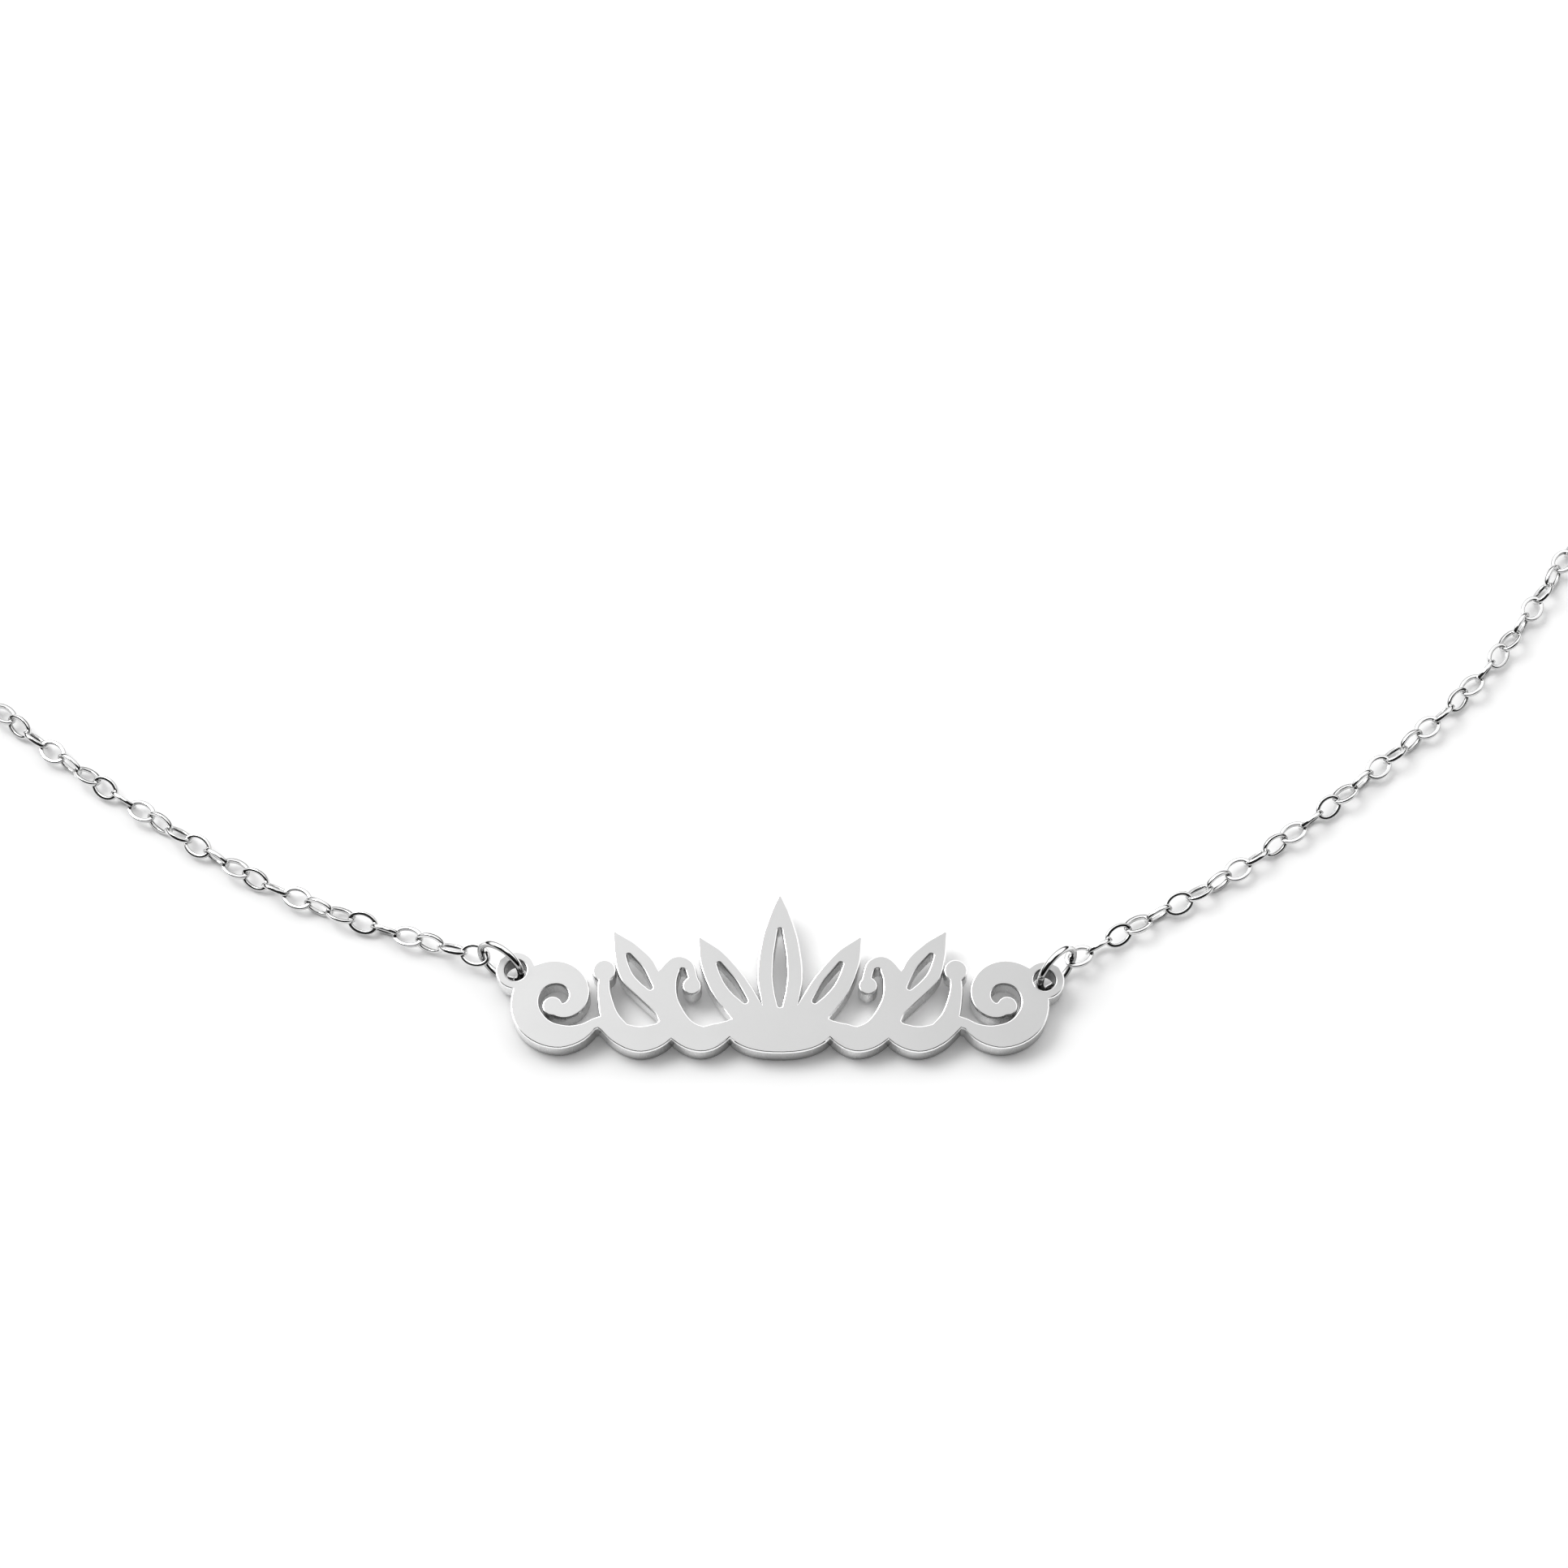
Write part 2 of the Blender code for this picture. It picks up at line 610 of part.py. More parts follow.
def stand_on_origin(carrier, pieces):
    """Moves the carrier so that the pieces' box stands on the origin, centred over it."""
    bpy.context.view_layer.update()
    graph = bpy.context.evaluated_depsgraph_get()
    low = Vector((math.inf,) * 3)
    high = Vector((-math.inf,) * 3)
    for piece in pieces:
        shown = piece.evaluated_get(graph)
        mesh = shown.to_mesh()
        for vertex in mesh.vertices:
            place = shown.matrix_world @ vertex.co
            low = Vector(map(min, low, place))
            high = Vector(map(max, high, place))
        shown.to_mesh_clear()
    middle = (low + high) * 0.5
    carrier.location = (-middle.x, -middle.y, -low.z)
    bpy.context.view_layer.update()


def main():
    """Builds the necklace."""
    clear_scene()
    carrier = add_empty("necklace")
    pieces = [make_nameplate(carrier)]
    for side in SIDES:
        pieces.append(make_jump_ring(side, carrier))
        pieces.append(make_front_chain(side, carrier))
        pieces.append(make_hidden_run(side, carrier))
    pieces.append(make_clasp(carrier))
    stand_on_origin(carrier, pieces)


if __name__ == "__main__":
    main()
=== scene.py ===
"""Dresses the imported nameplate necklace: satin plate, mirror rings, cable chain, clasp and a pale studio."""

import logging
import math
from contextlib import contextmanager
from dataclasses import dataclass
from enum import Enum, IntEnum
from typing import Callable, Iterator

import bmesh
import bpy
from mathutils import Matrix, Vector


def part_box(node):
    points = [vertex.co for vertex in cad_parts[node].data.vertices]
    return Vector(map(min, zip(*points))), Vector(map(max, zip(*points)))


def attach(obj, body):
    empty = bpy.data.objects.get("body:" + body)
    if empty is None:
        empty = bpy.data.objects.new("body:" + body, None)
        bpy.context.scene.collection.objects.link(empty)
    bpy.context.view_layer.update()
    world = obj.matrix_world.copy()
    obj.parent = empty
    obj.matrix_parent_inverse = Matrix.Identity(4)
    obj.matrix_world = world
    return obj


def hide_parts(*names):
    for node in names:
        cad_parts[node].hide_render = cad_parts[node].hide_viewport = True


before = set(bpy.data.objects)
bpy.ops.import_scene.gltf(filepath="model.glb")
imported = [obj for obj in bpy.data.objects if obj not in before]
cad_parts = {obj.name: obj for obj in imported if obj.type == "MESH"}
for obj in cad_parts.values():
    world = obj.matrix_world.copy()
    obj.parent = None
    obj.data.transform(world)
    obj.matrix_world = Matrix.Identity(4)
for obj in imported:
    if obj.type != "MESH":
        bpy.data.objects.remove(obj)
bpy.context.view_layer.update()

MM = 0.001
UP = Vector((0.0, 0.0, 1.0))
BODY = "root"

# Points closer than this are merged, on new pieces and on the copied plate.
MERGE_NEW = 0.0001 * MM
MERGE_COPY = 0.001 * MM

# Edges sharper than this are rounded.
ROUNDED_EDGE = math.radians(60.0)

# The span in which most of a noise texture's values lie.
NOISE_LOW, NOISE_HIGH = 0.3, 0.7

log = logging.getLogger("necklace")


class Side(Enum):
    """The two hands of the necklace, as the camera sees them."""

    LEFT = "left"
    RIGHT = "right"

    @property
    def hand(self) -> float:
        """Gives -1 for the left and 1 for the right."""
        return -1.0 if self is Side.LEFT else 1.0


class Slot(Enum):
    """The record's material slots."""

    SATIN = "satin_steel"
    POLISHED = "polished_steel"
    CHAIN = "chain_steel"


class Level(IntEnum):
    """The levels of the plate's edge, from its top face down to its underside."""

    FACE = 0
    LIP = 1
    RIM = 2
    WALL = 3
    FOOT = 4
    BASE = 5


# The chain's route on each hand, from its jump ring to the clasp: along the straight line between them and
# out from it, both as shares of that line's length.
LOOP_ROUTE: dict[Side, list[tuple[float, float]]] = {
    Side.LEFT: [(0.010, 0.049), (0.019, 0.091), (0.035, 0.143), (0.059, 0.195), (0.086, 0.249),
                (0.116, 0.302), (0.153, 0.356), (0.206, 0.413), (0.286, 0.467), (0.397, 0.512),
                (0.524, 0.532), (0.655, 0.521), (0.779, 0.467), (0.879, 0.372), (0.947, 0.248),
                (0.985, 0.116)],
    Side.RIGHT: [(0.022, 0.047), (0.038, 0.086), (0.057, 0.124), (0.079, 0.163), (0.110, 0.211),
                 (0.139, 0.254), (0.171, 0.292), (0.207, 0.326), (0.250, 0.363), (0.309, 0.411),
                 (0.386, 0.462), (0.476, 0.504), (0.586, 0.525), (0.703, 0.517), (0.813, 0.463),
                 (0.899, 0.367), (0.957, 0.242), (0.985, 0.116)],
}


# Hand work on meshes.


def deselect() -> None:
    """Leaves edit mode and deselects every object."""
    if bpy.context.object and bpy.context.object.mode != "OBJECT":
        bpy.ops.object.mode_set(mode="OBJECT")
    bpy.ops.object.select_all(action="DESELECT")


def choose(piece: bpy.types.Object) -> None:
    """Makes one object the only selected and the active one."""
    deselect()
    piece.select_set(True)
    bpy.context.view_layer.objects.active = piece


@contextmanager
def edit_mode(piece: bpy.types.Object, kind: str = "FACE") -> Iterator[None]:
    """Opens a piece in edit mode with everything selected, and closes it afterwards.

    Args:
        piece: The mesh object.
        kind: What is selected, one of VERT, EDGE and FACE.
    """
    choose(piece)
    bpy.ops.object.mode_set(mode="EDIT")
    bpy.ops.mesh.select_mode(type=kind)
    bpy.ops.mesh.select_all(action="SELECT")
    try:
        yield
    finally:
        bpy.ops.object.mode_set(mode="OBJECT")


def select_faces(piece: bpy.types.Object, wanted: Callable[[bmesh.types.BMFace], bool]) -> None:
    """Selects the faces of a piece in edit mode that pass a test.

    Args:
        piece: The mesh object, in edit mode.
        wanted: The test for a face.
    """
    bpy.ops.mesh.select_all(action="DESELECT")
    shape = bmesh.from_edit_mesh(piece.data)
    for face in shape.faces:
        if wanted(face):
            face.select_set(True)
    shape.select_flush_mode()
    bmesh.update_edit_mesh(piece.data)


def name_new(name: str) -> bpy.types.Object:
    """Names the object that was just added."""
    piece = bpy.context.object
    piece.name = piece.data.name = name
    return piece


def add_modifier(piece: bpy.types.Object, kind: str, **settings: object) -> None:
    """Adds a modifier with its settings and applies it.

    Args:
        piece: The mesh object.
        kind: The modifier's type.
        settings: The modifier's settings by name.
    """
    choose(piece)
    modifier = piece.modifiers.new(kind.lower(), kind)
    for name, value in settings.items():
        setattr(modifier, name, value)
    bpy.ops.object.modifier_apply(modifier=modifier.name)


def settle(piece: bpy.types.Object, smooth_angle: float = 35.0) -> None:
    """Puts a piece's place into its mesh, turns its faces outwards and shades it smooth.

    Args:
        piece: The mesh object.
        smooth_angle: The widest angle between faces that still looks round, in degrees.
    """
    choose(piece)
    bpy.ops.object.transform_apply(location=True, rotation=True, scale=True)
    with edit_mode(piece):
        bpy.ops.mesh.remove_doubles(threshold=MERGE_NEW)
        bpy.ops.mesh.normals_make_consistent(inside=False)
    bpy.ops.object.shade_smooth_by_angle(angle=math.radians(smooth_angle))


def copy_at(template: bpy.types.Object, name: str, place: Matrix) -> bpy.types.Object:
    """Copies a piece with its own mesh, and puts the copy's place into that mesh.

    Args:
        template: The piece that is copied.
        name: The copy's name.
        place: Where the copy goes.

    Returns:
        The copy.
    """
    twin = bpy.data.objects.new(name, template.data.copy())
    bpy.context.scene.collection.objects.link(twin)
    twin.data.transform(place)
    return twin


def join(name: str, pieces: list[bpy.types.Object]) -> bpy.types.Object:
    """Joins pieces into one object under a new name.

    Args:
        name: The joined piece's name.
        pieces: The objects, of which the first one takes in the others.

    Returns:
        The joined piece.
    """
    deselect()
    for piece in pieces:
        piece.select_set(True)
    bpy.context.view_layer.objects.active = pieces[0]
    bpy.ops.object.join()
    return name_new(name)


def remove(piece: bpy.types.Object) -> None:
    """Takes a spent template out of the scene."""
    bpy.data.objects.remove(piece, do_unlink=True)


def hand_in(piece: bpy.types.Object, slot: Slot, *nodes: str) -> None:
    """Lets a finished piece ride on the necklace in place of its CAD nodes.

    Args:
        piece: The finished piece.
        slot: The record's material slot; not used.
        nodes: The CAD nodes that it stands for.
    """
    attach(piece, BODY)
    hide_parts(*nodes)
    log.info("%s: %d faces, for %s", piece.name, len(piece.data.polygons), ", ".join(nodes))


# Finishes.


class Weave:
    """A node tree under construction, with short ways to add and join nodes."""

    def __init__(self, tree: bpy.types.NodeTree) -> None:
        """Takes the tree to build in."""
        self.tree = tree

    def add(self, kind: str, values: dict[str, object] | None = None, **settings: object) -> bpy.types.Node:
        """Adds a node.

        Args:
            kind: The node's type, without the leading ShaderNode.
            values: Socket values, or sockets to join, by the input's name.
            settings: The node's own settings by name.

        Returns:
            The new node.
        """
        node = self.tree.nodes.new("ShaderNode" + kind)
        for name, value in settings.items():
            setattr(node, name, value)
        for name, value in (values or {}).items():
            self.feed(node.inputs[name], value)
        return node

    def feed(self, socket: bpy.types.NodeSocket, value: object) -> None:
        """Sets a socket's value, or joins another socket to it."""
        if isinstance(value, bpy.types.NodeSocket):
            self.tree.links.new(value, socket)
        else:
            socket.default_value = value

    def maths(self, operation: str, first: object, second: object = 0.0) -> bpy.types.NodeSocket:
        """Adds an operation on two values.

        Args:
            operation: The operation's name.
            first: The first value or socket.
            second: The second value or socket.

        Returns:
            The result's socket.
        """
        node = self.add("Math", operation=operation)
        self.feed(node.inputs[0], first)
        self.feed(node.inputs[1], second)
        return node.outputs[0]

    def spread(self, value: object, low: float, high: float, to_low: float,
               to_high: float) -> bpy.types.NodeSocket:
        """Maps a value from one span to another, held at the ends.

        Args:
            value: The value or socket.
            low: The lower end of what comes in.
            high: The upper end of what comes in.
            to_low: What the lower end becomes.
            to_high: What the upper end becomes.

        Returns:
            The result's socket.
        """
        values = {"Value": value, "From Min": low, "From Max": high, "To Min": to_low, "To Max": to_high}
        return self.add("MapRange", values).outputs["Result"]


def start_group(name: str, inputs: dict[str, tuple[str, object]], outputs: list[str]) -> tuple[
        bpy.types.NodeTree, Weave, bpy.types.Node, bpy.types.Node]:
    """Starts a shader node group with named inputs and float outputs.

    Args:
        name: The group's name.
        inputs: Each input's socket type and starting value by its name.
        outputs: The names of the outputs.

    Returns:
        The group, its weave, its input node and its output node.
    """
    group = bpy.data.node_groups.new(name, "ShaderNodeTree")
    for label, (kind, value) in inputs.items():
        socket = group.interface.new_socket(label, in_out="INPUT", socket_type=kind)
        if value is not None:
            socket.default_value = value
    for label in outputs:
        group.interface.new_socket(label, in_out="OUTPUT", socket_type="NodeSocketFloat")
    weave = Weave(group)
    source = group.nodes.new("NodeGroupInput")
    sink = group.nodes.new("NodeGroupOutput")
    return group, weave, source, sink


def hairline_group() -> bpy.types.NodeTree:
    """Builds the effect of a few thin scratches that run one way across a surface.

    Returns:
        The group, with the outputs Mask and Height.
    """
    group, weave, source, sink = start_group(
        "hairline_scratches",
        {"Vector": ("NodeSocketVector", None), "Scale": ("NodeSocketFloat", 300.0),
         "Turn": ("NodeSocketFloat", 0.6), "Sparseness": ("NodeSocketFloat", 0.8)},
        ["Mask", "Height"])
    turned = weave.add("VectorRotate", {"Vector": source.outputs["Vector"], "Angle": source.outputs["Turn"]},
                       rotation_type="Z_AXIS")
    stretched = weave.add("VectorMath", operation="MULTIPLY")
    weave.feed(stretched.inputs[0], turned.outputs[0])
    stretched.inputs[1].default_value = (1.0, 0.06, 1.0)
    lines = weave.add("TexNoise", {"Vector": stretched.outputs[0], "Scale": source.outputs["Scale"],
                                   "Detail": 2.0, "Roughness": 0.5})
    crest = weave.maths("ABSOLUTE", weave.maths("SUBTRACT", lines.outputs["Fac"], 0.5))
    thin = weave.spread(crest, 0.0, 0.008, 1.0, 0.0)
    patches = weave.add("TexNoise", {"Vector": source.outputs["Vector"], "Scale": 260.0, "Detail": 1.0})
    there = weave.maths("GREATER_THAN", patches.outputs["Fac"], source.outputs["Sparseness"])
    mask = weave.maths("MULTIPLY", thin, there)
    weave.feed(sink.inputs["Mask"], mask)
    weave.feed(sink.inputs["Height"], weave.maths("MULTIPLY", mask, -1.0))
    return group


def grain_group() -> bpy.types.NodeTree:
    """Builds the effect of a fine tool grain, longer along one axis, over slow cloudy changes.

    Returns:
        The group, with the outputs Grain and Cloud, both about zero to one.
    """
    group, weave, source, sink = start_group(
        "steel_grain",
        {"Vector": ("NodeSocketVector", None), "Scale": ("NodeSocketFloat", 4000.0),
         "Stretch": ("NodeSocketVector", (1.0, 1.0, 1.0)), "Cloud Scale": ("NodeSocketFloat", 220.0)},
        ["Grain", "Cloud"])
    stretched = weave.add("VectorMath", operation="MULTIPLY")
    weave.feed(stretched.inputs[0], source.outputs["Vector"])
    weave.feed(stretched.inputs[1], source.outputs["Stretch"])
    grain = weave.add("TexNoise", {"Vector": stretched.outputs[0], "Scale": source.outputs["Scale"],
                                   "Detail": 2.0, "Roughness": 0.6})
    cloud = weave.add("TexNoise", {"Vector": source.outputs["Vector"], "Scale": source.outputs["Cloud Scale"],
                                   "Detail": 3.0, "Roughness": 0.5})
    weave.feed(sink.inputs["Grain"], grain.outputs["Fac"])
    weave.feed(sink.inputs["Cloud"], cloud.outputs["Fac"])
    return group


@dataclass(frozen=True)
class SteelFinish:
    """A finish of bare steel, from satin to mirror.

    Attributes:
        name: The material's name.
        dark: The linear grey where the surface is at its darkest.
        light: The linear grey where it is at its lightest.
        smooth: The lowest roughness.
        rough: The highest roughness.
        grain_stretch: How the tool grain is squeezed along each axis.
        grain_scale: How fine the tool grain is.
        relief: The height of the grain in metres.
        scratches: How strongly the hairlines show, zero for none.
        foot_shade: The share of painted shade by which the surface darkens at the table.
        foot_height: The height over which it does so.
        foot_fall: How sharply that shade falls off upwards.
        side_shade: The share of painted shade where the surface looks to the right, away from the light.
        side_span: How far a normal leans to the right where that shade begins and where it is full.
        front_shade: The share of painted dark reflection where it leans to the front, as the room is dark
            there.
        front_span: How far a normal leans to the front where that shade begins and where it is full.
    """

    name: str
    dark: float
    light: float
    smooth: float
    rough: float
    grain_stretch: tuple[float, float, float] = (1.0, 1.0, 1.0)
    grain_scale: float = 4000.0
    relief: float = 0.000002
    scratches: float = 0.0
    foot_shade: float = 0.0
    foot_height: float = 1.3 * MM
    foot_fall: float = 2.0
    side_shade: float = 0.0
    side_span: tuple[float, float] = (-0.2, 0.7)
    front_shade: float = 0.0
    front_span: tuple[float, float] = (0.18, 0.32)

    def make(self, grain: bpy.types.NodeTree, hairlines: bpy.types.NodeTree) -> bpy.types.Material:
        """Builds the material.

        Args:
            grain: The tool grain's group.
            hairlines: The hairline scratches' group.

        Returns:
            The material.
        """
        material = bpy.data.materials.new(self.name)
        material.use_nodes = True
        weave = Weave(material.node_tree)
        shader = material.node_tree.nodes["Principled BSDF"]
        shader.inputs["Metallic"].default_value = 1.0
        place = weave.add("TexCoord").outputs["Object"]
        texture = weave.add("Group", node_tree=grain)
        weave.feed(texture.inputs["Vector"], place)
        texture.inputs["Scale"].default_value = self.grain_scale
        texture.inputs["Stretch"].default_value = self.grain_stretch
        tone = weave.spread(texture.outputs["Cloud"], NOISE_LOW, NOISE_HIGH, self.dark, self.light)
        roughness = weave.spread(texture.outputs["Grain"], NOISE_LOW, NOISE_HIGH, self.smooth, self.rough)
        height = texture.outputs["Grain"]
        # Painted shade: darker towards the table.
        if self.foot_shade:
            up = weave.add("SeparateXYZ", {"Vector": place}).outputs["Z"]
            low = weave.maths("POWER", weave.spread(up, 0.0, self.foot_height, 1.0, 0.0), self.foot_fall)
            tone = weave.maths("MULTIPLY", tone, weave.spread(low, 0.0, 1.0, 1.0, 1.0 - self.foot_shade))
        normal = weave.add("SeparateXYZ", {"Vector": weave.add("TexCoord").outputs["Normal"]})
        # Painted shade: darker where the normal looks to the right, away from the light.
        if self.side_shade:
            begin, full = self.side_span
            side = weave.spread(normal.outputs["X"], begin, full, 1.0, 1.0 - self.side_shade)
            tone = weave.maths("MULTIPLY", tone, side)
        # Painted reflection: darker where the normal leans to the front, towards the dark room.
        if self.front_shade:
            begin, full = self.front_span
            front = weave.spread(normal.outputs["Y"], -begin, -full, 1.0, 1.0 - self.front_shade)
            tone = weave.maths("MULTIPLY", tone, front)
        if self.scratches:
            marks = weave.add("Group", node_tree=hairlines)
            weave.feed(marks.inputs["Vector"], place)
            tone = weave.maths("ADD", tone, weave.maths("MULTIPLY", marks.outputs["Mask"], self.scratches))
            height = weave.maths("ADD", height, marks.outputs["Height"])
        grey = weave.add("CombineColor", {"Red": tone, "Green": tone, "Blue": tone})
        weave.feed(shader.inputs["Base Color"], grey.outputs["Color"])
        weave.feed(shader.inputs["Roughness"], roughness)
        bump = weave.add("Bump", {"Height": height, "Strength": 1.0, "Distance": self.relief})
        weave.feed(shader.inputs["Normal"], bump.outputs["Normal"])
        return material


SATIN_FACE = SteelFinish("satin_face", dark=0.485, light=0.50, smooth=0.42, rough=0.46,
                         grain_scale=6000.0, relief=0.0000004, scratches=0.12)
# The lip: a bright copy of the steel as a painted highlight, with a painted dark line where it leans to the
# front.
LIP_HIGHLIGHT_AND_SHADE = SteelFinish("lip_painted_highlight_and_shade", dark=0.93, light=0.97, smooth=0.22, rough=0.28, relief=0.0000004,
                       front_shade=0.86)
# The rim: a brighter copy of the steel, partly polish and partly a painted highlight line.
RIM_HIGHLIGHT = SteelFinish("rim_painted_highlight", dark=0.93, light=0.97, smooth=0.22, rough=0.28, relief=0.0000004)
# The cut wall: painted shade darkens it towards the table and where it looks to the right, away from the
# light.
CUT_WALL = SteelFinish("cut_wall", dark=0.80, light=0.90, smooth=0.20, rough=0.30,
                       grain_stretch=(1.0, 1.0, 0.05), grain_scale=5000.0, relief=0.000002, foot_shade=0.72,
                       side_shade=0.4)
# The eyelets' bores: a near-black copy of the steel as painted shade for the holes' shadow, darker still
# towards the table.
SHADED_BORE = SteelFinish("bore_painted_shade", dark=0.10, light=0.16, smooth=0.25, rough=0.35, foot_shade=0.5)
# The jump rings: painted shade towards the table and a painted dark reflection band where the wire leans to
# the front.
MIRROR_WIRE = SteelFinish("mirror_wire", dark=0.86, light=0.92, smooth=0.03, rough=0.06, foot_shade=0.3,
                          front_shade=0.55, front_span=(0.4, 0.65))
# The chain: painted shade towards the table and to the right, and a light painted dark reflection where it
# leans to the front.
CHAIN_WIRE = SteelFinish("chain_wire", dark=0.88, light=0.93, smooth=0.06, rough=0.10, foot_shade=0.45,
                         side_shade=0.25, front_shade=0.2, front_span=(0.4, 0.65))
CLASP_POLISH = SteelFinish("clasp_polish", dark=0.82, light=0.88, smooth=0.07, rough=0.12, scratches=0.1)


# Layout.


def smooth_curve(points: list[Vector], step: float) -> list[Vector]:
    """Reads a smooth curve through the points.

    Args:
        points: The points that the curve passes.
        step: About how far apart the curve is read.

    Returns:
        Close points along the curve.
    """
    rows = [points[0] * 2.0 - points[1]] + points + [points[-1] * 2.0 - points[-2]]
    curve = []
    for a, b, c, d in zip(rows, rows[1:], rows[2:], rows[3:]):
        count = max(2, round((c - b).length / step))
        for i in range(count):
            t = i / count
            curve.append(0.5 * (2.0 * b + (c - a) * t + (2.0 * a - 5.0 * b + 4.0 * c - d) * t * t
                                + (3.0 * b - a - 3.0 * c + d) * t ** 3))
    curve.append(rows[-2])
    return curve


def points_along(path: list[Vector], places: list[float]) -> list[Vector]:
    """Reads the points at given distances along a path of close points.

    Args:
        path: The close points.
        places: The distances, in rising order.

    Returns:
        A point for each distance.
    """
    found, gone, wanted = [], 0.0, list(places)
    for a, b in zip(path, path[1:]):
        span = (b - a).length
        while wanted and wanted[0] <= gone + span:
            found.append(a.lerp(b, (wanted.pop(0) - gone) / span))
        gone += span
    return found + [path[-1]] * len(wanted)


@dataclass(frozen=True)
class Layout:
    """Where everything lies, from the same sizes as the CAD model.

    Attributes:
        shift: What moves the plate's own frame to the frame of the whole necklace.
        plate_width: The plate from eyelet to eyelet.
        plate_height: The plate from its lower edge to its highest tip.
        plate_thickness: The plate's sheet.
        plate_front_y: The plate's lower edge, in its own frame.
        eyelet_radius: An eyelet's outer radius.
        eyelet_hole: The radius of its hole.
        eyelet_lift: How far the rings lift the eyelets, which leans the plate.
        eyelet_up: Each eyelet's height on the plate, as a share of the plate's height.
        ring_wire: The jump rings' wire.
        ring_diameter: A jump ring's outer diameter.
        ring_clearance: The gap between a ring and its eyelet's hole.
        ring_lean: How far a ring leans back from upright.
        ring_heading: The way each ring points, from the plate to its chain.
        link_width: A link's outer width, which the chain lies as high as.
        link_solder: How deep one link bears into the next.
        link_clearance: The gap between a ring and its first link.
        link_drop: Where on its ring the first link hangs, below the ring's level.
        floor_clearance: The gap between the chain and the table.
        clasp_y: The clasp's distance behind the plate's frame.
        clasp_joint_x: The distance from the clasp's middle to where the chain bears.
        clasp_joint_z: The height at which it bears.
        path_step: How far apart the chain's line is read.
    """

    shift: Vector
    plate_width: float = 39.0 * MM
    plate_height: float = 11.6 * MM
    plate_thickness: float = 1.6 * MM
    plate_front_y: float = -5.4 * MM
    eyelet_radius: float = 1.38 * MM
    eyelet_hole: float = 0.75 * MM
    eyelet_lift: float = 0.58 * MM
    eyelet_up: tuple[float, float] = (0.518, 0.456)
    ring_wire: float = 0.5 * MM
    ring_diameter: float = 3.9 * MM
    ring_clearance: float = 0.08 * MM
    ring_lean: float = math.radians(8.0)
    ring_heading: tuple[float, float] = (math.radians(147.0), math.radians(45.0))
    link_width: float = 1.62 * MM
    link_solder: float = 0.05 * MM
    link_clearance: float = 0.1 * MM
    link_drop: float = math.radians(25.0)
    floor_clearance: float = 0.02 * MM
    clasp_y: float = 121.6 * MM
    clasp_joint_x: float = 4.3 * MM
    clasp_joint_z: float = 1.0 * MM
    path_step: float = 0.25 * MM

    @classmethod
    def read(cls) -> "Layout":
        """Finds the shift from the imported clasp's box, which the clasp's middle fills evenly."""
        low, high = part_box("clasp")
        middle = 0.5 * (Vector(low) + Vector(high))
        return cls(shift=Vector((middle.x, middle.y - cls.clasp_y, low[2])))

    def of_side(self, pair: tuple[float, float], side: Side) -> float:
        """Picks one hand's value of a pair."""
        return pair[0] if side is Side.LEFT else pair[1]

    @property
    def lean(self) -> float:
        """Gives the plate's lean from its lower edge to its lifted eyelets."""
        return math.asin(self.eyelet_lift / (min(self.eyelet_up) * self.plate_height))

    def eyelet_middle(self, side: Side) -> Vector:
        """Gives the middle of an eyelet's hole, halfway through the plate."""
        out = side.hand * (0.5 * self.plate_width - self.eyelet_radius)
        up = self.of_side(self.eyelet_up, side) * self.plate_height
        flat = Vector((out, up, 0.5 * self.plate_thickness))
        return Matrix.Rotation(self.lean, 3, "X") @ flat + Vector((0.0, self.plate_front_y, 0.0)) + self.shift

    def ring_place(self, side: Side) -> Matrix:
        """Gives a jump ring's place, with its own X towards the chain and its own Y up.

        Args:
            side: The hand.

        Returns:
            The place as a matrix.
        """
        heading = self.of_side(self.ring_heading, side)
        along = Vector((math.cos(heading), math.sin(heading), 0.0))
        level = UP.cross(along)
        away = level if level.y > 0.0 else -level
        upward = UP * math.cos(self.ring_lean) + away * math.sin(self.ring_lean)
        wire_radius = 0.5 * (self.ring_diameter - self.ring_wire)
        seat = self.eyelet_hole - 0.5 * self.ring_wire - self.ring_clearance
        middle = self.eyelet_middle(side) + along * (wire_radius - seat)
        middle.z = wire_radius * math.cos(self.ring_lean) + 0.5 * self.ring_wire + self.shift.z
        turn = Matrix((along, upward, along.cross(upward))).transposed()
        return Matrix.Translation(middle) @ turn.to_4x4()

    def first_joint(self, side: Side) -> Vector:
        """Gives the point where the first link bears on its jump ring."""
        reach = 0.5 * self.ring_diameter - self.ring_wire - self.link_clearance - 0.5 * self.link_solder
        drop = Vector((math.cos(self.link_drop), -math.sin(self.link_drop), 0.0)) * reach
        return self.ring_place(side) @ drop

    def chain_path(self, side: Side) -> list[Vector]:
        """Gives one hand's chain line from the jump ring to the clasp's eye.

        Args:
            side: The hand.

        Returns:
            Close points along the line.
        """
        start = self.first_joint(side)
        end = Vector((side.hand * self.clasp_joint_x, self.clasp_y, self.clasp_joint_z)) + self.shift
        line = (end - start).to_2d()
        outward = Vector((line.y, -line.x)) * side.hand
        height = 0.5 * self.link_width + self.floor_clearance + self.shift.z
        route = [start]
        for share, out in LOOP_ROUTE[side]:
            place = start.to_2d() + line * share + outward * out
            route.append(Vector((place.x, place.y, height)))
        return smooth_curve(route + [end], self.path_step)


# The necklace's pieces.


